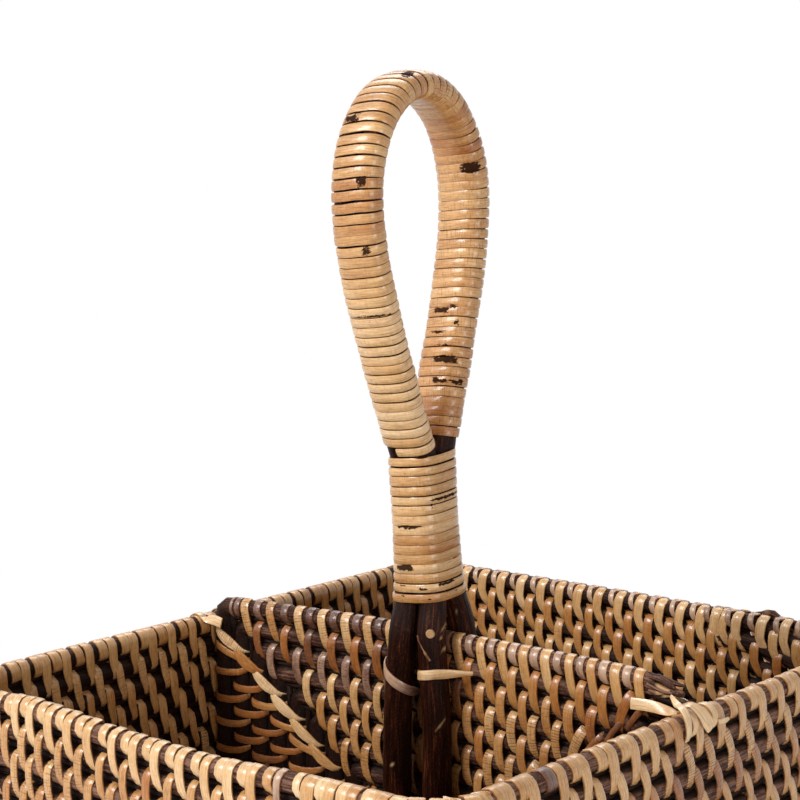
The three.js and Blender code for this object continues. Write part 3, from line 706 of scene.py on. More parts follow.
def rim_binding(seed):
    """On the rim a strip takes one long stitch and one short turn round the rim rod, in pairs."""
    shapes = Shapes()
    s, rows, reach, sides, half_width, lean = wall_stitches(RIM_START, RIM_END, 22, 0.13)
    near_left, near_right, _, far_right = sides
    profile = join_profiles(turn_profile(RIM_LONG_KEYS), ring_profile(RIM_SHORT_KEYS))
    steps = len(profile["angle"])
    place = np.mod(s, TURN)
    close = near_left * smooth((place - CLOSE_FROM) / 4)
    greyed = 1.36 * np.exp(-(((place - GREYED_AT) / 4) ** 4)) * near_left
    tone = strip_tone(len(s), seed, 0.27, 0.12) - 0.08 * (near_left + far_right) + 0.1 * near_right
    tone += 0.2 * close + greyed
    stain = strip_stain(len(s), steps, seed, 0.05)
    rng = np.random.default_rng(seed + 3)
    stain = np.maximum(stain, np.repeat(0.2 * near_right, steps) * rng.uniform(0.3, 1, len(stain)))
    # The short turns are weathered grey on the far right wall
    grey = 1.2 * far_right * (1 + 0.06 * rng.uniform(-1, 1, len(s))) - 0.25 * close
    grey -= (greyed + np.append(greyed[1:], 0)) / 2
    grey += 0.68 * np.exp(-(((place - DARK_AT) / 5) ** 4)) * near_right
    half_width = (half_width + 0.15 + 0.55 * close + 0.2 * near_right * smooth((730 - place) / 60)
                  - 0.35 * greyed)
    wind(shapes, rows, reach, profile, seed, tone, half_width, stain, np.full(len(stain), 0.16),
         0.5 * lean + 0.14 * far_right, grey, 1 - 0.4 * far_right)
    return shapes


def make_walls():
    for k, name in enumerate(("lower", "middle", "upper", "rim")):
        replaces = ["rim_coil" if name == "rim" else f"wall_coil_{name}"]
        span = SPLICE_TURNS[k], SPLICE_TURNS[k + 1]
        wall_rods(*span).make(f"{name}_wall_rod", replaces, "rattan_rod")
        binding = rim_binding(500) if name == "rim" else wall_binding(*span, 100 + 10 * k)
        binding.make(f"{name}_wall_binding", replaces, "rattan_peel")


def spiral_corners(turns, core, pitch_u, pitch_v, end_u):
    """Corners of a rectangular spiral from the middle outward, as (u, v)."""
    corners = [(core + 1.5 * pitch_u, -pitch_v / 2)]
    for k in range(turns):
        side, row = core + (k + 1) * pitch_u, (k + 0.5) * pitch_v
        corners += [(-side, -row), (-side, row)]
        if k < turns - 1:
            corners += [(side + pitch_u, row), (side + pitch_u, -row - pitch_v)]
        else:
            corners += [(end_u, row)]
    return np.array(corners)


def rounded(corners, radii, step):
    """A line through corners, each rounded to its radius."""
    line = [corners[0]]
    for before, at, after, radius in zip(corners, corners[1:], corners[2:], radii):
        inward, outward = unit(before - at), unit(after - at)
        steps = max(int(radius * 1.6 / step * 2), 4)
        angle = np.linspace(0, np.pi / 2, steps + 1)
        centre = at + (inward + outward) * radius
        bend = centre - np.cos(angle)[:, None] * outward * radius - np.sin(angle)[:, None] * inward * radius
        line.extend(bend)
    line.append(corners[-1])
    return np.array(line)


def corner_radii(count, outer_radius, pitch):
    """Bends follow the outermost one inward until they are tight. There are four corners to a turn."""
    out = (count - 1 - np.arange(count)) // 4
    return np.maximum(TIGHT_BEND, outer_radius - out * pitch)


def place_flat(flat, origin, axis_u, axis_v):
    return origin + flat[:, :1] * axis_u + flat[:, 1:] * axis_v


def rounding(radius):
    """How far before a round corner its rod is 1.2 off the straight line."""
    return radius - math.sqrt(max(2.4 * radius - 1.44, 0))


# Tones of the broad stitches down a mitre, from the innermost turn outward
MITRE_TONES = (0.3, 0.5, 0.42, 0.2, 0.1, 0.02, 0.62, 0.12)


def bind_spiral(shapes, spiral, axes, profiles, reach, grids, seed, tone_of, half_width, bare=0.0):
    """Stitches along every side of a spiral, each round its rod and the next one inward. Towards the
    mitre at the end of a side they tilt, and the last one is broad. The outermost side has the second
    profile, and no stitches at its end over the length of bare."""
    corners, pitches, radii = spiral
    origin, axis_u, axis_v, outer = axes
    for n in range(4, len(corners) - 1):
        start, end = corners[n], corners[n + 1]
        run = unit(end - start)
        side = np.linalg.norm(end - start)
        inward = np.array([run[1], -run[0]])
        upright = int(abs(run[1]) > 0.5)
        gap = pitches[1 - upright]
        mitred, right = n + 2 < len(corners), n % 4 == 2
        low, high = (corners[n - 4] - start) @ run, (corners[n - 3] - start) @ run
        # No stitches where the rod's round corner has left the side's straight line
        first = max(max(low, 0) + (-4 if mitred else 2.5), rounding(radii[n - 1]))
        last = min(side - bare, high + 4)
        if mitred:
            last = min(high - 4.5 + 0.85 * gap, side - 1.1 * gap, side - rounding(radii[n]))
        numbers = np.arange(-16, 17) + 0.5 * ((n // 4 + 1) % 2)
        at = np.sort((grids[upright](numbers) - start[upright]) * run[upright])
        at = at[(at > first) & (at < last - (5.5 if mitred else 0))]
        at = at + wander(np.arange(len(at)), 1.4, seed + n) * 0.5
        if mitred:
            at = np.append(at, last)
        if len(at) < 2:
            continue
        tilt = (0.66 if n % 4 == 1 else 0.85) * gap * smooth((at - last + 13) / 12) * mitred
        upper = start + at[:, None] * run
        lower = start + (at - tilt)[:, None] * run + inward * gap
        widths = np.full(len(at), half_width * (0.8 if upright else 1))
        tone = tone_of(n, len(at))
        leaf = np.zeros(len(at))
        if mitred:
            widths[-1] *= 0.6 if right else 1.1
            tone[-1] = 0.8 if right else MITRE_TONES[(n // 4) % len(MITRE_TONES)]
            leaf[-1] = 0.0 if right else 1.0
        facing = place_flat(np.broadcast_to(run, upper.shape), 0, axis_u, axis_v)
        rows = [place_flat(flat, origin, axis_u, axis_v) for flat in (upper, lower)]
        rows += [facing, np.broadcast_to(outer, facing.shape)]
        profile = profiles[0 if mitred else 1]
        steps = len(profile["angle"])
        # The strip ends on the far face, at a mitre only where the corner is round
        cut = 0 if mitred and radii[n] < 5 else steps - 14
        grey = 0.78 + (0.24 * smooth((at - 95) / 40) if right else 0)
        out, up = reach[0], reach[1][upright]
        stain = strip_stain(len(at), steps, seed + n, 0.05)
        wind(shapes, rows, (out, up, out - 0.3, up), profile, seed + n, tone, widths, stain,
             crack_share(len(stain), seed + n), 0.0, grey, 0.85, leaf, cut)


BASE_TURNS = round(HALF_X / ROW_PITCH + 0.5)
BASE_PITCH = HALF_X / (BASE_TURNS - 0.5)
BASE_HALF_HEIGHT = 2.7


def make_base():
    corners = spiral_corners(BASE_TURNS, HALF_Y - BASE_TURNS * BASE_PITCH, BASE_PITCH, BASE_PITCH, FLAT_Y)
    radii = corner_radii(len(corners) - 2, CORNER_RADIUS, BASE_PITCH)
    origin = np.array([0, 0, BASE_LEVEL])
    line = resample(place_flat(rounded(corners, radii, 3.0), origin, ALONG_Y, -ALONG_X), 5.0)
    rods = Shapes()
    # Painted shade darkens both sides of the base rod where it lies against its neighbours in the spiral
    rods.tube(line, BASE_PITCH / 2 - 0.2, BASE_HALF_HEIGHT, UP, 2.0, 0.4, sides=10, painted_groove_shade=(0, 1.0, 1.0))
    rods.make("base_rod", ["base_coil"], "rattan_rod")
    shapes = Shapes()
    axes = (origin, ALONG_Y, -ALONG_X, -UP)
    reach = (BASE_HALF_HEIGHT + 0.05, (BASE_PITCH / 2 - 0.35,) * 2)
    bind_spiral(shapes, (corners, (BASE_PITCH, BASE_PITCH), radii), axes, (LONG, LONG), reach,
                (lambda i: i * STITCH,) * 2, 700, lambda n, count: strip_tone(count, 700 + n, 0.4, 0.16),
                PEEL_HALF_WIDTH)
    shapes.make("base_binding", ["base_coil"], "rattan_peel")


DIVIDER_ROW_PITCH = (DIVIDER_TOP - DIVIDER_BOTTOM + ROW_GAP) / (2 * DIVIDER_TURNS)
DIVIDER_SIDE = -divider_low[0] - (COLUMN_PITCH - ROW_GAP) / 2
DIVIDER_MIDDLE = (DIVIDER_TOP + DIVIDER_BOTTOM) / 2
DIVIDER_TIP = divider_high[0]
TOP_ROW_LEVEL = DIVIDER_MIDDLE + (DIVIDER_TURNS - 0.5) * DIVIDER_ROW_PITCH
ROW_HALF, COLUMN_HALF = DIVIDER_ROW_PITCH / 2 - 0.45, COLUMN_PITCH / 2 - 0.6
# Stitch number and X of stitches along the divider's rows, farther apart towards the left
ROW_STITCHES = ((-9, -121), (-8, -114), (-6, -85.4), (-4, -59.6), (-2, -36.8), (0, -16.9), (4, 22.8),
                (12, 95.6), (14, 114))
COLUMN_STITCH = 10.2
LAST_STITCH = 87.5
TOP_LONG_KEYS = ((0, 0), (0.143, 0.05), (0.36, 0.2), (0.5, 0.3), (0.64, 0.36), (1, 0.5))
TOP_SHORT_KEYS = ((0, 0.5), (0.25, 0.54), (0.75, 0.8), (1, 0.98))
# Tones of the stitches on the left and right half of the top row of each turn, from the inmost outward
LEFT_TONES = (0.45, 0.4, 0.45, 0.4, 0.42, 1.2, 0.68, 0.34)
RIGHT_TONES = (0.45, 0.5, 0.5, 0.55, 0.5, 0.6, 0.58, 0.4)


def divider_tone(n, count):
    """Tone of the stitches on side n of the divider, the outermost top row last."""
    turn = min((n - 1) // 4, DIVIDER_TURNS - 1)
    # Stitches off the top rows, the columns among them, get a darker tone: painted shade where the columns
    # lie in shadow
    middle = np.full(count, 0.74 + 0.1 * math.sin(2.3 * n))
    if n % 4 == 2:
        middle = np.where(np.arange(count) < count / 2, LEFT_TONES[turn], RIGHT_TONES[turn])
    return strip_tone(count, 800 + n, middle, 0.12)


# How far the divider's upper half sinks, as X and depth: the top row droops at both ends
DIVIDER_SAG = ((-101, -3.3), (-85, -2.0), (-60, -1.3), (-40, -0.5), (-20, 0), (60, 0), (86, -0.4),
               (100, -2.6))


def divider_sag(points):
    share = smooth((points[:, 2] - DIVIDER_MIDDLE) / (DIVIDER_TOP - DIVIDER_MIDDLE))
    return (between(points[:, 0], DIVIDER_SAG) * share)[:, None] * UP


SPLINTERS = 16


def add_torn_end(rods):
    """Splinters round the broken end of the divider's rod."""
    rng = np.random.default_rng(91)
    for k in range(SPLINTERS):
        angle = 2 * np.pi * k / SPLINTERS + rng.uniform(-0.15, 0.15)
        start, end = LAST_STITCH + rng.uniform(0, 5), DIVIDER_TIP - rng.uniform(0, 5)
        t = np.linspace(0, 1, 9)
        near = 0.98 - (0.25 if np.sin(angle) > 0 else 0.75) * t**1.4
        line = np.stack([np.linspace(start, end, 9), np.cos(angle) * DIVIDER_ROD * near,
                         TOP_ROW_LEVEL + np.sin(angle) * ROW_HALF * near + 0.3 * np.sin(5 * t + k)], axis=1)
        raw = 1.0 if np.sin(angle) < 0.3 and np.cos(angle) < 0.4 and k % 4 else 0.0
        radius = rng.uniform(0.6, 0.95) * (0.35 + 0.65 * np.sin(np.pi * (0.2 + 0.75 * t)))
        tone = rng.uniform(0.1, 1.3)
        rods.tube(line, radius, radius, UP, 20.0 + k, tone, raw * smooth(2 * t - 0.3), sides=6)


# Single turns round the divider's top rod left of its first stitch: X, half width, tone
TOP_WRAPS = ((-92.4, 0.7, 1.25), (-89.6, 1.2, 1.16))


def add_wrap(shapes, x, half_width, tone):
    angle = np.linspace(0, 2 * np.pi, 25)
    facing = np.stack([0 * angle, np.cos(angle), np.sin(angle)], axis=1)
    line = facing * [0, DIVIDER_ROD + 0.1, ROW_HALF + 0.05] + [x, 0, TOP_ROW_LEVEL]
    shapes.ribbon(line + angle[:, None] * 0.05 * ALONG_X, facing, half_width, 0.5, 60 + x, tone)


def make_divider():
    inmost = DIVIDER_SIDE - DIVIDER_TURNS * COLUMN_PITCH
    corners = spiral_corners(DIVIDER_TURNS, inmost, COLUMN_PITCH, DIVIDER_ROW_PITCH, DIVIDER_TIP)
    radii = corner_radii(len(corners) - 2, TIGHT_BEND, COLUMN_PITCH)
    origin = np.array([0, 0, DIVIDER_MIDDLE])
    line = resample(place_flat(rounded(corners, radii, 1.5), origin, ALONG_X, UP), 2.5)
    sums = lengths(line)
    left = sums[-1] - sums
    ahead = unit(np.gradient(line, axis=0))
    upright = np.abs(ahead[:, 2])
    knots = 1 + 0.07 * wander(sums, 7, 31) + 0.05 * wander(sums, 25, 32)
    broken = 0.35 + 0.65 * smooth(left / 12)
    half_up = (ROW_HALF + (COLUMN_HALF - ROW_HALF) * upright**2) * knots * broken
    outermost_turn = smooth((left - 2 * DIVIDER_SIDE) / 20)
    # The bark is paler on the upper right of the divider; upright runs of rod are painted darker, as painted
    # shade where the columns lie in shadow
    paler_upper_right = 0.12 * smooth(line[:, 0] / 20) * smooth((line[:, 2] - 100) / 10)
    tone = 0.5 - 0.75 * upright + paler_upper_right
    rods = Shapes()
    # Painted shade darkens the rod's sides where it lies against the rods beside it, one side less along the
    # outermost turn's last stretch
    rods.tube(line, half_up, DIVIDER_ROD * knots * broken, ALONG_Y, 3.0, tone, sides=14,
              painted_groove_shade=(0, outermost_turn, 1.0))
    # A dark core, coloured as painted shade, stands for what shows between two rods of the strips that cross
    # there
    core = np.stack([ahead[:, 2] * COLUMN_PITCH / 2, 0 * sums, -ahead[:, 0] * DIVIDER_ROW_PITCH / 2], axis=1)
    rods.tube((line + core)[::2], 1.3, 1.2, ALONG_Y, 3.0, -0.4, sides=8)
    add_torn_end(rods)
    rods.bend(divider_sag)
    rods.make("divider_rod", ["divider_coil"], "rattan_rod")

    shapes = Shapes()
    top = join_profiles(turn_profile(TOP_LONG_KEYS), ring_profile(TOP_SHORT_KEYS))
    axes = (origin, ALONG_X, UP, -ALONG_Y)
    grids = (lambda i: between(i, ROW_STITCHES), lambda i: i * COLUMN_STITCH)
    bind_spiral(shapes, (corners, (COLUMN_PITCH, DIVIDER_ROW_PITCH), radii), axes, (LONG, top),
                (DIVIDER_ROD + 0.1, (ROW_HALF, COLUMN_HALF)), grids, 800, divider_tone, 1.75,
                DIVIDER_TIP - LAST_STITCH)
    for wrap in TOP_WRAPS:
        add_wrap(shapes, *wrap)
    shapes.bend(divider_sag)
    shapes.make("divider_binding", ["divider_coil"], "rattan_peel")


def lean_at(rise):
    above = np.maximum(rise - NECK_BOTTOM, 0)
    return -LEAN * above + LEAN_EASE * above**2


def bow_at(rise):
    below = np.maximum(LOOP_WIDEST - rise, 0)
    flank = LOOP_HALF_WIDTH - (np.hypot(FLANK_SLOPE * below, FLANK_ROUND) - FLANK_ROUND)
    neck = CANE_OFFSET + (LEG_OFFSET - CANE_OFFSET) * smooth((PARTING_RISE - rise) / PARTING_LENGTH)
    return np.maximum(neck, flank)


def spread_at(rise):
    return CANE_OFFSET + (LEG_SPREAD - CANE_OFFSET) * smooth((SPREAD_TOP - rise) / SPREAD_LENGTH)


def radius_at(rise):
    return CANE_RADIUS + (LEG_RADIUS - CANE_RADIUS) * smooth((SWELL_RISE - rise) / SWELL_LENGTH)


FOOT_RISE = base_high[2] + 0.3 - RIM_TOP


def handle_line():
    """Rise and Y of the loop's middle line from the front foot over the crown to the back foot."""
    rising = np.linspace(FOOT_RISE, LOOP_WIDEST, 160)
    turn = np.linspace(0, np.pi, 90)[1:-1]
    rise = np.concatenate([rising, LOOP_WIDEST + LOOP_CROWN * np.sin(turn), rising[::-1]])
    bow = np.concatenate([-bow_at(rising), -LOOP_HALF_WIDTH * np.cos(turn), bow_at(rising)[::-1]])
    return rise, bow


# As the camera sees the handle: to the right, and towards the camera
CAMERA_AZIMUTH = 39.33
SCREEN_RIGHT = np.array([math.cos(math.radians(CAMERA_AZIMUTH)), math.sin(math.radians(CAMERA_AZIMUTH)), 0])
TOWARD_CAMERA = np.array([SCREEN_RIGHT[1], -SCREEN_RIGHT[0], 0])


def add_marks(shapes, facing, marks, slope, where=True):
    """Stains the first tube or ribbon of shapes. Marks are given by how far right and how high the photo
    shows them, half their width and height, and how dark they are. slope tilts them up to the right, facing
    is the way the surface faces, and where picks points of the line."""
    points = shapes.points[0].reshape(len(facing), -1, 3)
    right, rise = points @ SCREEN_RIGHT, points[..., 2] - RIM_TOP
    stain = np.zeros(right.shape)
    for mark_right, mark_rise, half_width, half_height, dark in marks:
        across = (right - mark_right) / half_width
        upward = (rise - mark_rise - slope * (right - mark_right)) / half_height
        stain = np.maximum(stain, dark * np.exp(-(across**4) - upward**4))
    stain = stain * smooth(unit(facing) @ TOWARD_CAMERA * 2 + 0.5) * column(where, points)
    look = shapes.look[0].reshape(points.shape)
    look[..., 1] = np.maximum(look[..., 1], stain)


# Marks of the handle, as right, rise, half width, half height, darkness
LEG_SCARS = ((4.2, 5, 1.2, 0.9, 0.8), (4.3, 12.6, 1.6, 1.0, 0.6), (3.2, -20, 2.2, 0.9, 0.6),
             (8.8, 16, 0.7, 2.2, 0.5), (-7.2, 11, 0.8, 1.8, 0.6), (-10.5, -40, 2.8, 0.4, 0.9),
             (-13.5, -37, 0.5, 0.6, 1.0))


def make_canes():
    rise, bow = handle_line()
    y = bow + lean_at(rise)
    for side, name in ((-1, "left"), (1, "right")):
        line = np.stack([side * spread_at(rise), y, RIM_TOP + rise], axis=1)
        sums = lengths(line)
        line[:, 0] += (FRONT_LEFT_SHIFT if side < 0 else 0.0) * smooth((34 - rise) / 30) * (y < lean_at(rise))
        radius = radius_at(rise) + 0.12 * wander(sums, 14, 41 + side) - 0.3 * smooth((rise - 74) / 5)
        shapes = Shapes()
        shapes.tube(line, radius, radius, ALONG_X, 5.0 + side, 0.4, sides=20)
        add_marks(shapes, shapes.points[0].reshape(len(line), -1, 3) - line[:, None], LEG_SCARS, 0.9)
        if side > 0:
            add_twig(shapes)
        shapes.make(f"{name}_cane", [f"cane_{name}"], "handle_cane")


def on_front_leg(right, rise, lift):
    """Point on the side of the front right leg that the camera sees."""
    radius = radius_at(rise)
    middle = np.array([spread_at(rise), -bow_at(rise) + lean_at(rise), RIM_TOP + rise])
    turned = math.asin(np.clip((right - middle @ SCREEN_RIGHT) / radius, -0.95, 0.95))
    normal = math.cos(turned) * TOWARD_CAMERA + math.sin(turned) * SCREEN_RIGHT
    return middle + normal * (radius + lift), normal


# Edges of the sheath below the twig: where each starts and ends, as right and rise
SHEATH_EDGES = ((-4.9, 9.7, -0.4, 1.9), (4.7, 12.4, 2.6, 8.4))


def add_twig(shapes):
    """The cut twig on the front right leg and the two edges of the sheath below it."""
    base, normal = on_front_leg(-0.3, 11.0, -0.6)
    line = base + normal * np.linspace(0, 1.6, 4)[:, None]
    radius = [1.75, 1.7, 1.55, 1.3]
    shapes.tube(line, radius, radius, UP, 8.0, 0.5, [0, 0, 0.8, 1.0], sides=14)
    for k, (from_right, from_rise, to_right, to_rise) in enumerate(SHEATH_EDGES):
        t = np.linspace(0, 1, 9)
        rights, rises = from_right + (to_right - from_right) * t, from_rise + (to_rise - from_rise) * t**0.8
        line = np.array([on_front_leg(right, rise, -0.05)[0] for right, rise in zip(rights, rises)])
        radius = 0.42 + 0.2 * wander(t, 0.23, 43 + k)
        shapes.tube(line, radius, radius, UP, 9.0, 0.9, 0.3 + 0.3 * wander(t, 0.2, 45 + k), sides=6)


LOOP_PITCH = 3.42
LOOP_MARKS = ((-22.9, 163.4, 1.8, 1.8, 1.0), (-26.2, 183.1, 2.6, 1.3, 0.8), (-21.3, 141.2, 1.5, 1.8, 0.85),
              (-8.0, 197.5, 2.6, 1.2, 0.8), (-18.8, 117.9, 3.0, 0.5, 0.8), (-20.0, 119.6, 6.5, 0.4, 1.0),
              (-9.2, 116.6, 1.0, 0.5, 0.8), (-24.5, 185.0, 3.0, 0.4, 0.7), (-24.0, 137.5, 2.2, 0.35, 0.75))
LOOP_BACK_MARKS = ((13.2, 166.6, 3.6, 2.0, 1.0), (3.8, 166.2, 1.6, 0.5, 0.6), (3.4, 118.4, 2.8, 1.1, 0.85),
                   (7.5, 119.9, 1.5, 0.7, 0.7), (2.3, 111.4, 2.6, 0.6, 0.8), (8.5, 114.5, 1.0, 1.0, 0.8),
                   (5.0, 103.0, 5.0, 0.9, 0.75), (5.4, 101.6, 5.6, 0.4, 0.95), (6.5, 95.2, 6.0, 0.8, 0.74),
                   (1.5, 95.2, 1.2, 1.1, 0.95), (9.6, 94.6, 1.6, 1.0, 0.95), (5.0, 107.0, 4.0, 0.4, 0.6))
# Tone of the loop's strip by share of the way from its front foot over the crown to its back foot
LOOP_TONES = ((0, 0.16), (0.13, 0.12), (0.24, 0.3), (0.33, 0.46), (0.42, 0.32), (0.5, 0.42), (0.6, 0.56),
              (0.7, 0.4), (0.82, 0.38), (0.9, 0.5), (1, 0.46))


def make_loop_binding():
    """Peel wound closely round both canes from the neck over the crown and back."""
    rise, bow = handle_line()
    middle = np.stack([0 * rise, bow + lean_at(rise), RIM_TOP + rise], axis=1)
    middle = resample(middle[rise > 64], 1.0)
    sums = lengths(middle)
    outer = unit(np.cross(unit(np.gradient(middle, axis=0)), ALONG_X))
    steps, start, left_at_end = 44, 10.0, 12.5
    turns = round((sums[-1] - start - left_at_end) / LOOP_PITCH)
    q = 0.06 + np.arange(turns * steps + 1) / steps
    at = start + q * LOOP_PITCH + 0.2 * wander(q, 1.3, 61)
    outline, side = swollen_outline(q, CANE_OFFSET + CANE_RADIUS + 0.12, CANE_RADIUS + 0.16, 2.6)

    def along(values):
        return np.stack([np.interp(at, sums, values[:, i]) for i in range(3)], axis=1)

    base, outward = along(middle), unit(along(outer))
    centre = base + outline[:, :1] * ALONG_X + outline[:, 1:] * outward
    normal = side[:, :1] * ALONG_X + side[:, 1:] * outward
    tone = between(q / turns, LOOP_TONES) + 0.07 * wander(q, 5, 62) + 0.08 * wander(q, 0.9, 63)
    front = base[:, 1] < lean_at(base[:, 2] - RIM_TOP)
    half_width, thickness = 1.6 + 0.09 * wander(q, 1.1, 65), 0.6 + 0.16 * wander(q, 1.7, 66)
    cracks = np.where(front, 0.3, 0.6) + 0.25 * wander(q, 3, 67)
    shapes = Shapes()
    shapes.ribbon(centre, normal, half_width, thickness, 9.0, tone, 0.0, cracks)
    add_marks(shapes, normal[:, None], LOOP_MARKS, 0.12, front)
    add_marks(shapes, normal[:, None], LOOP_BACK_MARKS, 0.1, ~front)
    shapes.make("loop_binding", ["loop_winding"], "rattan_peel")


def swollen_outline(q, half_x, half_y, power=2.8):
    """Outline round bound canes, starting at the front left: a rectangle with bulging sides."""
    turned = 2 * np.pi * q - 0.75 * np.pi
    cosine, sine = np.cos(turned), np.sin(turned)
    reach = (np.abs(cosine / half_x) ** power + np.abs(sine / half_y) ** power) ** (-1 / power)
    point = np.stack([cosine * reach, sine * reach], axis=1)
    steep = np.stack([np.sign(cosine) * np.abs(point[:, 0] / half_x) ** (power - 1) / half_x,
                      np.sign(sine) * np.abs(point[:, 1] / half_y) ** (power - 1) / half_y], axis=1)
    return point, unit(steep)


# Winding of the neck: how many turns, its rise after half a turn, and how far each turn climbs
NECK_TURNS = 15.42
NECK_START = 21.7
NECK_PITCH = 3.37
NECK_MARKS = ((-7.2, 46.9, 4.6, 0.5, 0.9), (-8.8, 32.3, 3.0, 1.1, 1.0), (5.0, 27.4, 3.2, 0.6, 1.0),
              (-9.5, 25.7, 0.9, 0.35, 0.85), (-2.7, 25.6, 1.9, 0.35, 0.85), (9.8, 28.9, 0.8, 0.3, 0.8),
              (-9.8, 22.2, 0.6, 0.3, 0.8), (-5.5, 22.3, 0.8, 0.3, 0.75), (-0.8, 22.2, 0.7, 0.35, 0.8),
              (3.4, 22.5, 0.9, 0.3, 0.8), (8.6, 24.2, 0.5, 0.6, 0.85), (11.0, 25.9, 1.0, 0.3, 0.8),
              (4.3, 56.9, 5.0, 0.3, 1.0), (-0.1, 54.6, 1.0, 0.7, 0.9), (8.0, 35.3, 1.0, 0.35, 0.85),
              (10.5, 36.7, 1.1, 0.3, 0.8), (-4.0, 66.6, 3.6, 0.3, 0.74), (-9.5, 61.8, 4.5, 0.3, 0.9))


def make_neck_binding():
    steps, margin = 56, 0.2
    q = np.arange(round(NECK_TURNS * steps)) / steps - 0.5
    rise = NECK_START + NECK_PITCH * q + 0.15 * wander(q, 1.2, 71)
    half_x, half_y = spread_at(rise) + radius_at(rise) + margin, bow_at(rise) + radius_at(rise) + margin
    outline, side = swollen_outline(q, half_x * 1.07, half_y * 1.07)
    tilted = rise + 0.07 * (outline @ SCREEN_RIGHT[:2])
    centre = np.stack([outline[:, 0], outline[:, 1] + lean_at(rise), RIM_TOP + tilted], axis=1)
    normal = np.stack([side[:, 0], side[:, 1], 0 * rise], axis=1)
    brown = 0.16 * np.exp(-(((rise - 39) / 6) ** 2))
    tone = 0.34 + brown + 0.12 * wander(q, 3, 72) + 0.1 * wander(q, 0.7, 73)
    half_width, thickness = 1.56 + 0.2 * wander(q, 1.1, 75), 0.65 + 0.16 * wander(q, 1.9, 76)
    shapes = Shapes()
    shapes.ribbon(centre, normal, half_width, thickness, 11.0, tone, 0.0, 0.3 + 0.2 * wander(q, 2, 77))
    add_marks(shapes, normal[:, None], NECK_MARKS, 0.14)
    shapes.make("neck_binding", ["neck_winding"], "rattan_peel")


# Strips that tie the legs to the divider: the height above the rim where each leaves and comes back, and
# how far it runs on
LEG_LASHINGS = {"front_left": (-1.6, -12, 1), "front_right": (-4.8, -2.4, 8), "back_left": (-4, -4, 1),
                "back_right": (-10, -4, 1)}
# Strips that tie the divider to the rim: how far each runs along it and how high it ends above the rim
RIM_TIES = {"right_front": (16, -1), "right_back": (8, -2), "left_front": (8, -2), "left_back": (8, -2)}


def sides_of(name):
    """-1 or 1 along X and along Y."""
    return 1 if "right" in name else -1, 1 if "back" in name else -1


def make_leg_lashings():
    for k, (name, (rise_in, rise_out, tail)) in enumerate(LEG_LASHINGS.items()):
        side_x, side_y = sides_of(name)
        rise = (rise_in + rise_out) / 2
        reach = radius_at(rise) + 0.15
        face = DIVIDER_DEPTH + 0.2 - LEG_OFFSET
        end = np.array([reach + tail, face + 0.4])
        leaves = math.acos(reach / math.hypot(*end)) + math.atan2(end[1], end[0])
        angle = np.linspace(np.pi, leaves, 29)
        bend = np.stack([reach * np.cos(angle), reach * np.sin(angle)], axis=1)
        before = np.linspace([-reach, face], [-reach, 0], 7)[:-1]
        flat = np.concatenate([before, bend, np.linspace(bend[-1], end, 9)[1:]])
        along = np.gradient(flat, axis=0)
        outward = np.stack([-along[:, 1], side_y * along[:, 0], np.zeros(len(flat))], axis=1)
        share = np.linspace(0, 1, len(flat))
        level = RIM_TOP + rise_in + (rise_out - rise_in) * smooth(share)
        middle = side_x * spread_at(rise) + (FRONT_LEFT_SHIFT if name == "front_left" else 0.0)
        centre = np.stack([middle + flat[:, 0], side_y * (LEG_OFFSET + flat[:, 1]), level], axis=1)
        # The front left lashing goes from pale grey to dark grey-brown along its length: painted shade where
        # it runs into shadow
        tone = 1.6 - 0.5 * share if name == "front_left" else 0.12 + 0.2 * wander(share * 9, 2, 90 + k)
        half_width = 1.7 - 0.9 * smooth((share - 0.84) * 6)
        shapes = Shapes()
        shapes.ribbon(centre, unit(outward), half_width, PEEL_THICKNESS, 30.0 + k, tone, 0.0, 0.2)
        shapes.make(f"{name}_leg_lashing", [f"leg_lashing_{name}"], "rattan_peel")


def band(shapes, knots, facing, half_widths, seed, tone):
    """A short strip through a few points, the way it faces given at each of them."""
    knots, facing = np.array(knots, float), np.array(facing, float)
    t = np.linspace(0, len(knots) - 1, 8 * len(knots))
    i = np.minimum(t.astype(int), len(knots) - 2)
    f = (t - i)[:, None]
    before, after = np.maximum(i - 1, 0), np.minimum(i + 2, len(knots) - 1)
    start, end = (knots[i + 1] - knots[before]) / 2, (knots[after] - knots[i]) / 2
    line = ((2 * f**3 - 3 * f**2 + 1) * knots[i] + (f**3 - 2 * f**2 + f) * start
            + (3 * f**2 - 2 * f**3) * knots[i + 1] + (f**3 - f**2) * end)
    faces = unit(facing[i] * (1 - f) + facing[i + 1] * f)
    half_width = np.interp(t, np.arange(len(half_widths)), half_widths)
    tone = tone + 0.1 * wander(t, 0.8, int(seed))
    shapes.ribbon(line, faces, half_width, PEEL_THICKNESS, seed, tone, cracks=0.1)


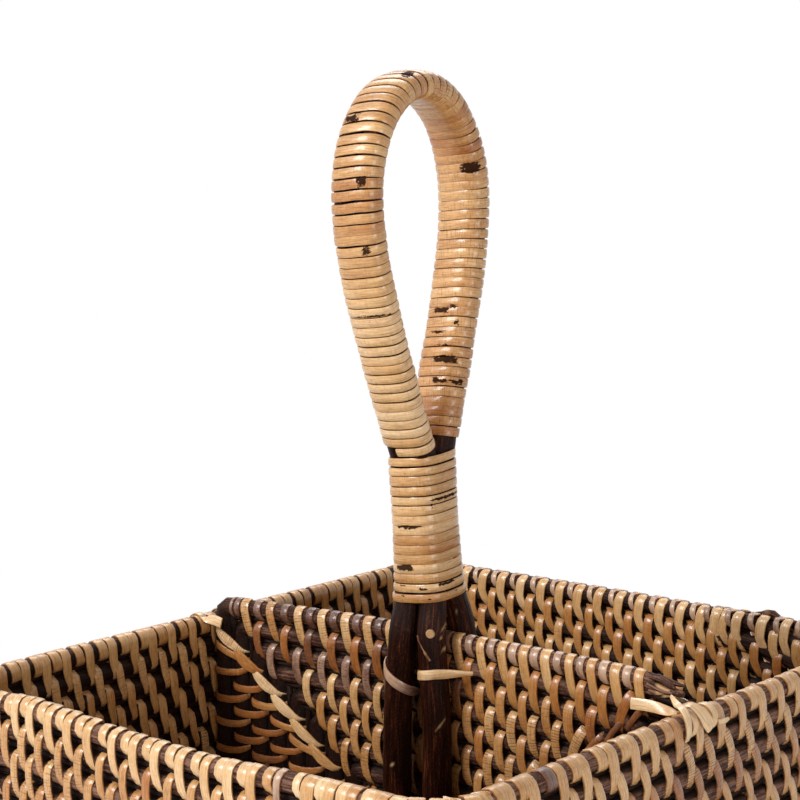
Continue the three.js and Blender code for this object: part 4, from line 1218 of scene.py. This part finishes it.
# The end that crosses the tie at the near right rim, a torn end beside it and a tip farther on: points, the
# ways they face, half widths, seed and tone
CROSSING_ENDS = (
    ([(100.2, -4.4, 122.6), (103.6, -6.6, 120.9), (107.4, -9.2, 120.4), (110.2, -10.8, 117.4),
      (110.4, -10.6, 113.6), (109.4, -10.2, 111.2)],
     [(-0.3, -0.8, 0.6), (0, -0.5, 0.9), (0.3, -0.2, 1), (1, -0.1, 0.4), (1, 0, -0.1), (1, 0, -0.6)],
     [0.5, 1.2, 1.5, 1.5, 1.45, 1.3], 51.0, 0.0),
    ([(104.5, -4.6, 120.0), (107.0, -3.8, 120.6), (109.8, -2.6, 118.6), (111.0, -0.6, 115.4),
      (111.2, 1.2, 112.9)],
     [(0, -0.2, 1), (0.2, -0.1, 1), (0.8, -0.2, 0.7), (1, -0.2, 0.1), (1, -0.2, 0)],
     [1.5, 2.0, 2.4, 2.5, 1.9], 52.0, 0.04),
    ([(109.6, 8.6, 113.2), (111.0, 9.8, 113.6), (111.3, 11.6, 114.0)],
     [(1, 0, 0.2), (1, 0, 0.3), (1, 0.2, 0.3)], [0.9, 0.9, 0.5], 53.0, -0.05),
)


def make_rim_ties():
    reach_x, reach_z = ROD_HALF_WIDTH + 0.75, ROD_HALF_HEIGHT + 0.75
    middle_z = RIM_LEVEL - RIM_SINK
    for k, (name, (tail, rise)) in enumerate(RIM_TIES.items()):
        side_x, side_y = sides_of(name)
        y = side_y * (DIVIDER_DEPTH + 2.4)
        tail_end = HALF_X - reach_x - tail
        knots = [(tail_end, y, RIM_TOP + rise), (tail_end + tail / 2, y, RIM_TOP + 0.7 * rise)]
        facing = [(0, side_y, 0.15), (0, side_y, 0.3)]
        for degrees in (140, 110, 75, 35, 0, -35, -65):
            turned = math.radians(degrees)
            knots.append((HALF_X + reach_x * math.cos(turned), y, middle_z + reach_z * math.sin(turned)))
            facing.append((math.cos(turned), 0, math.sin(turned)))
        knots, facing = [[(side_x * x, y, z) for x, y, z in rows] for rows in (knots, facing)]
        shapes = Shapes()
        band(shapes, knots, facing, [1.9, 1.9] + [1.6] * (len(knots) - 2), 40.0 + k, 0.02)
        if name == "right_front":
            for end in CROSSING_ENDS:
                band(shapes, *end)
        shapes.make(f"{name}_rim_tie", [f"rim_tie_{name}"], "rattan_peel")


FLOOR_HALF = 4.0


def make_stage():
    mesh = bpy.data.meshes.new("floor")
    corners = [(x * FLOOR_HALF, y * FLOOR_HALF, 0) for x, y in ((-1, -1), (1, -1), (1, 1), (-1, 1))]
    mesh.from_pydata(corners, [], [(0, 1, 2, 3)])
    floor = placed("floor", mesh, (0, 0, -0.0002))
    paint = Paint(bpy.data.materials.new("floor"))
    paint.surface.inputs["Base Color"].default_value = (0.86, 0.86, 0.86, 1)
    paint.surface.inputs["Roughness"].default_value = 0.8
    white = paint.node("ShaderNodeEmission", {"Color": (1, 1, 1, 1), "Strength": 1.0})
    where = paint.node("ShaderNodeTexCoord")
    far = paint.node("ShaderNodeVectorMath", {0: where.outputs["Object"]}, operation="LENGTH")
    fade = paint.span(far.outputs["Value"], 0.2, 0.55)
    paint.end("Material Output", paint.times(fade, paint.shown()), paint.surface, white)
    mesh.materials.append(paint.owner)


def make_world():
    world = bpy.data.worlds.new("studio")
    bpy.context.scene.world = world
    paint = Paint(world)
    light, white = [paint.node("ShaderNodeBackground", {"Color": (1, 1, 1, 1), "Strength": strength})
                    for strength in (0.15, 1.0)]
    paint.end("World Output", paint.shown(), light, white)


# Place, target, size and power of each light, in metres and watts
LIGHTS = {"key": ((-0.7, -1.3, 1.2), (0, 0, 0.15), 0.7, 30),
          "fill": ((1.2, -0.75, 0.35), (0, 0, 0.12), 0.6, 7.4),
          "back": ((-0.6, 0.7, 1.4), (0, 0, 0.12), 0.9, 12)}


def make_lights():
    for name, (place, target, size, power) in LIGHTS.items():
        lamp = bpy.data.lights.new(name, "AREA")
        lamp.shape = "SQUARE"
        lamp.size = size
        lamp.energy = power
        placed(name, lamp, place, Vector(target) - Vector(place))


# The camera, fitted to the photograph: pitch in degrees, place in millimetres
CAMERA_PITCH = 7.48
CAMERA_PLACE = (458.0, -575.6, 304.2)
CAMERA_LENS = 98.4


def make_camera():
    data = bpy.data.cameras.new("camera")
    data.lens = CAMERA_LENS
    data.sensor_width = 36.0
    data.clip_start = 0.01
    azimuth, pitch = math.radians(CAMERA_AZIMUTH), math.radians(CAMERA_PITCH)
    level = math.cos(pitch)
    forward = Vector((-math.sin(azimuth) * level, math.cos(azimuth) * level, -math.sin(pitch)))
    bpy.context.scene.camera = placed("camera", data, [c * MM for c in CAMERA_PLACE], forward)


make_camera()
make_walls()
make_base()
make_divider()
make_canes()
make_loop_binding()
make_neck_binding()
make_leg_lashings()
make_rim_ties()
make_stage()
make_world()
make_lights()

bpy.context.scene.view_settings.view_transform = "Standard"
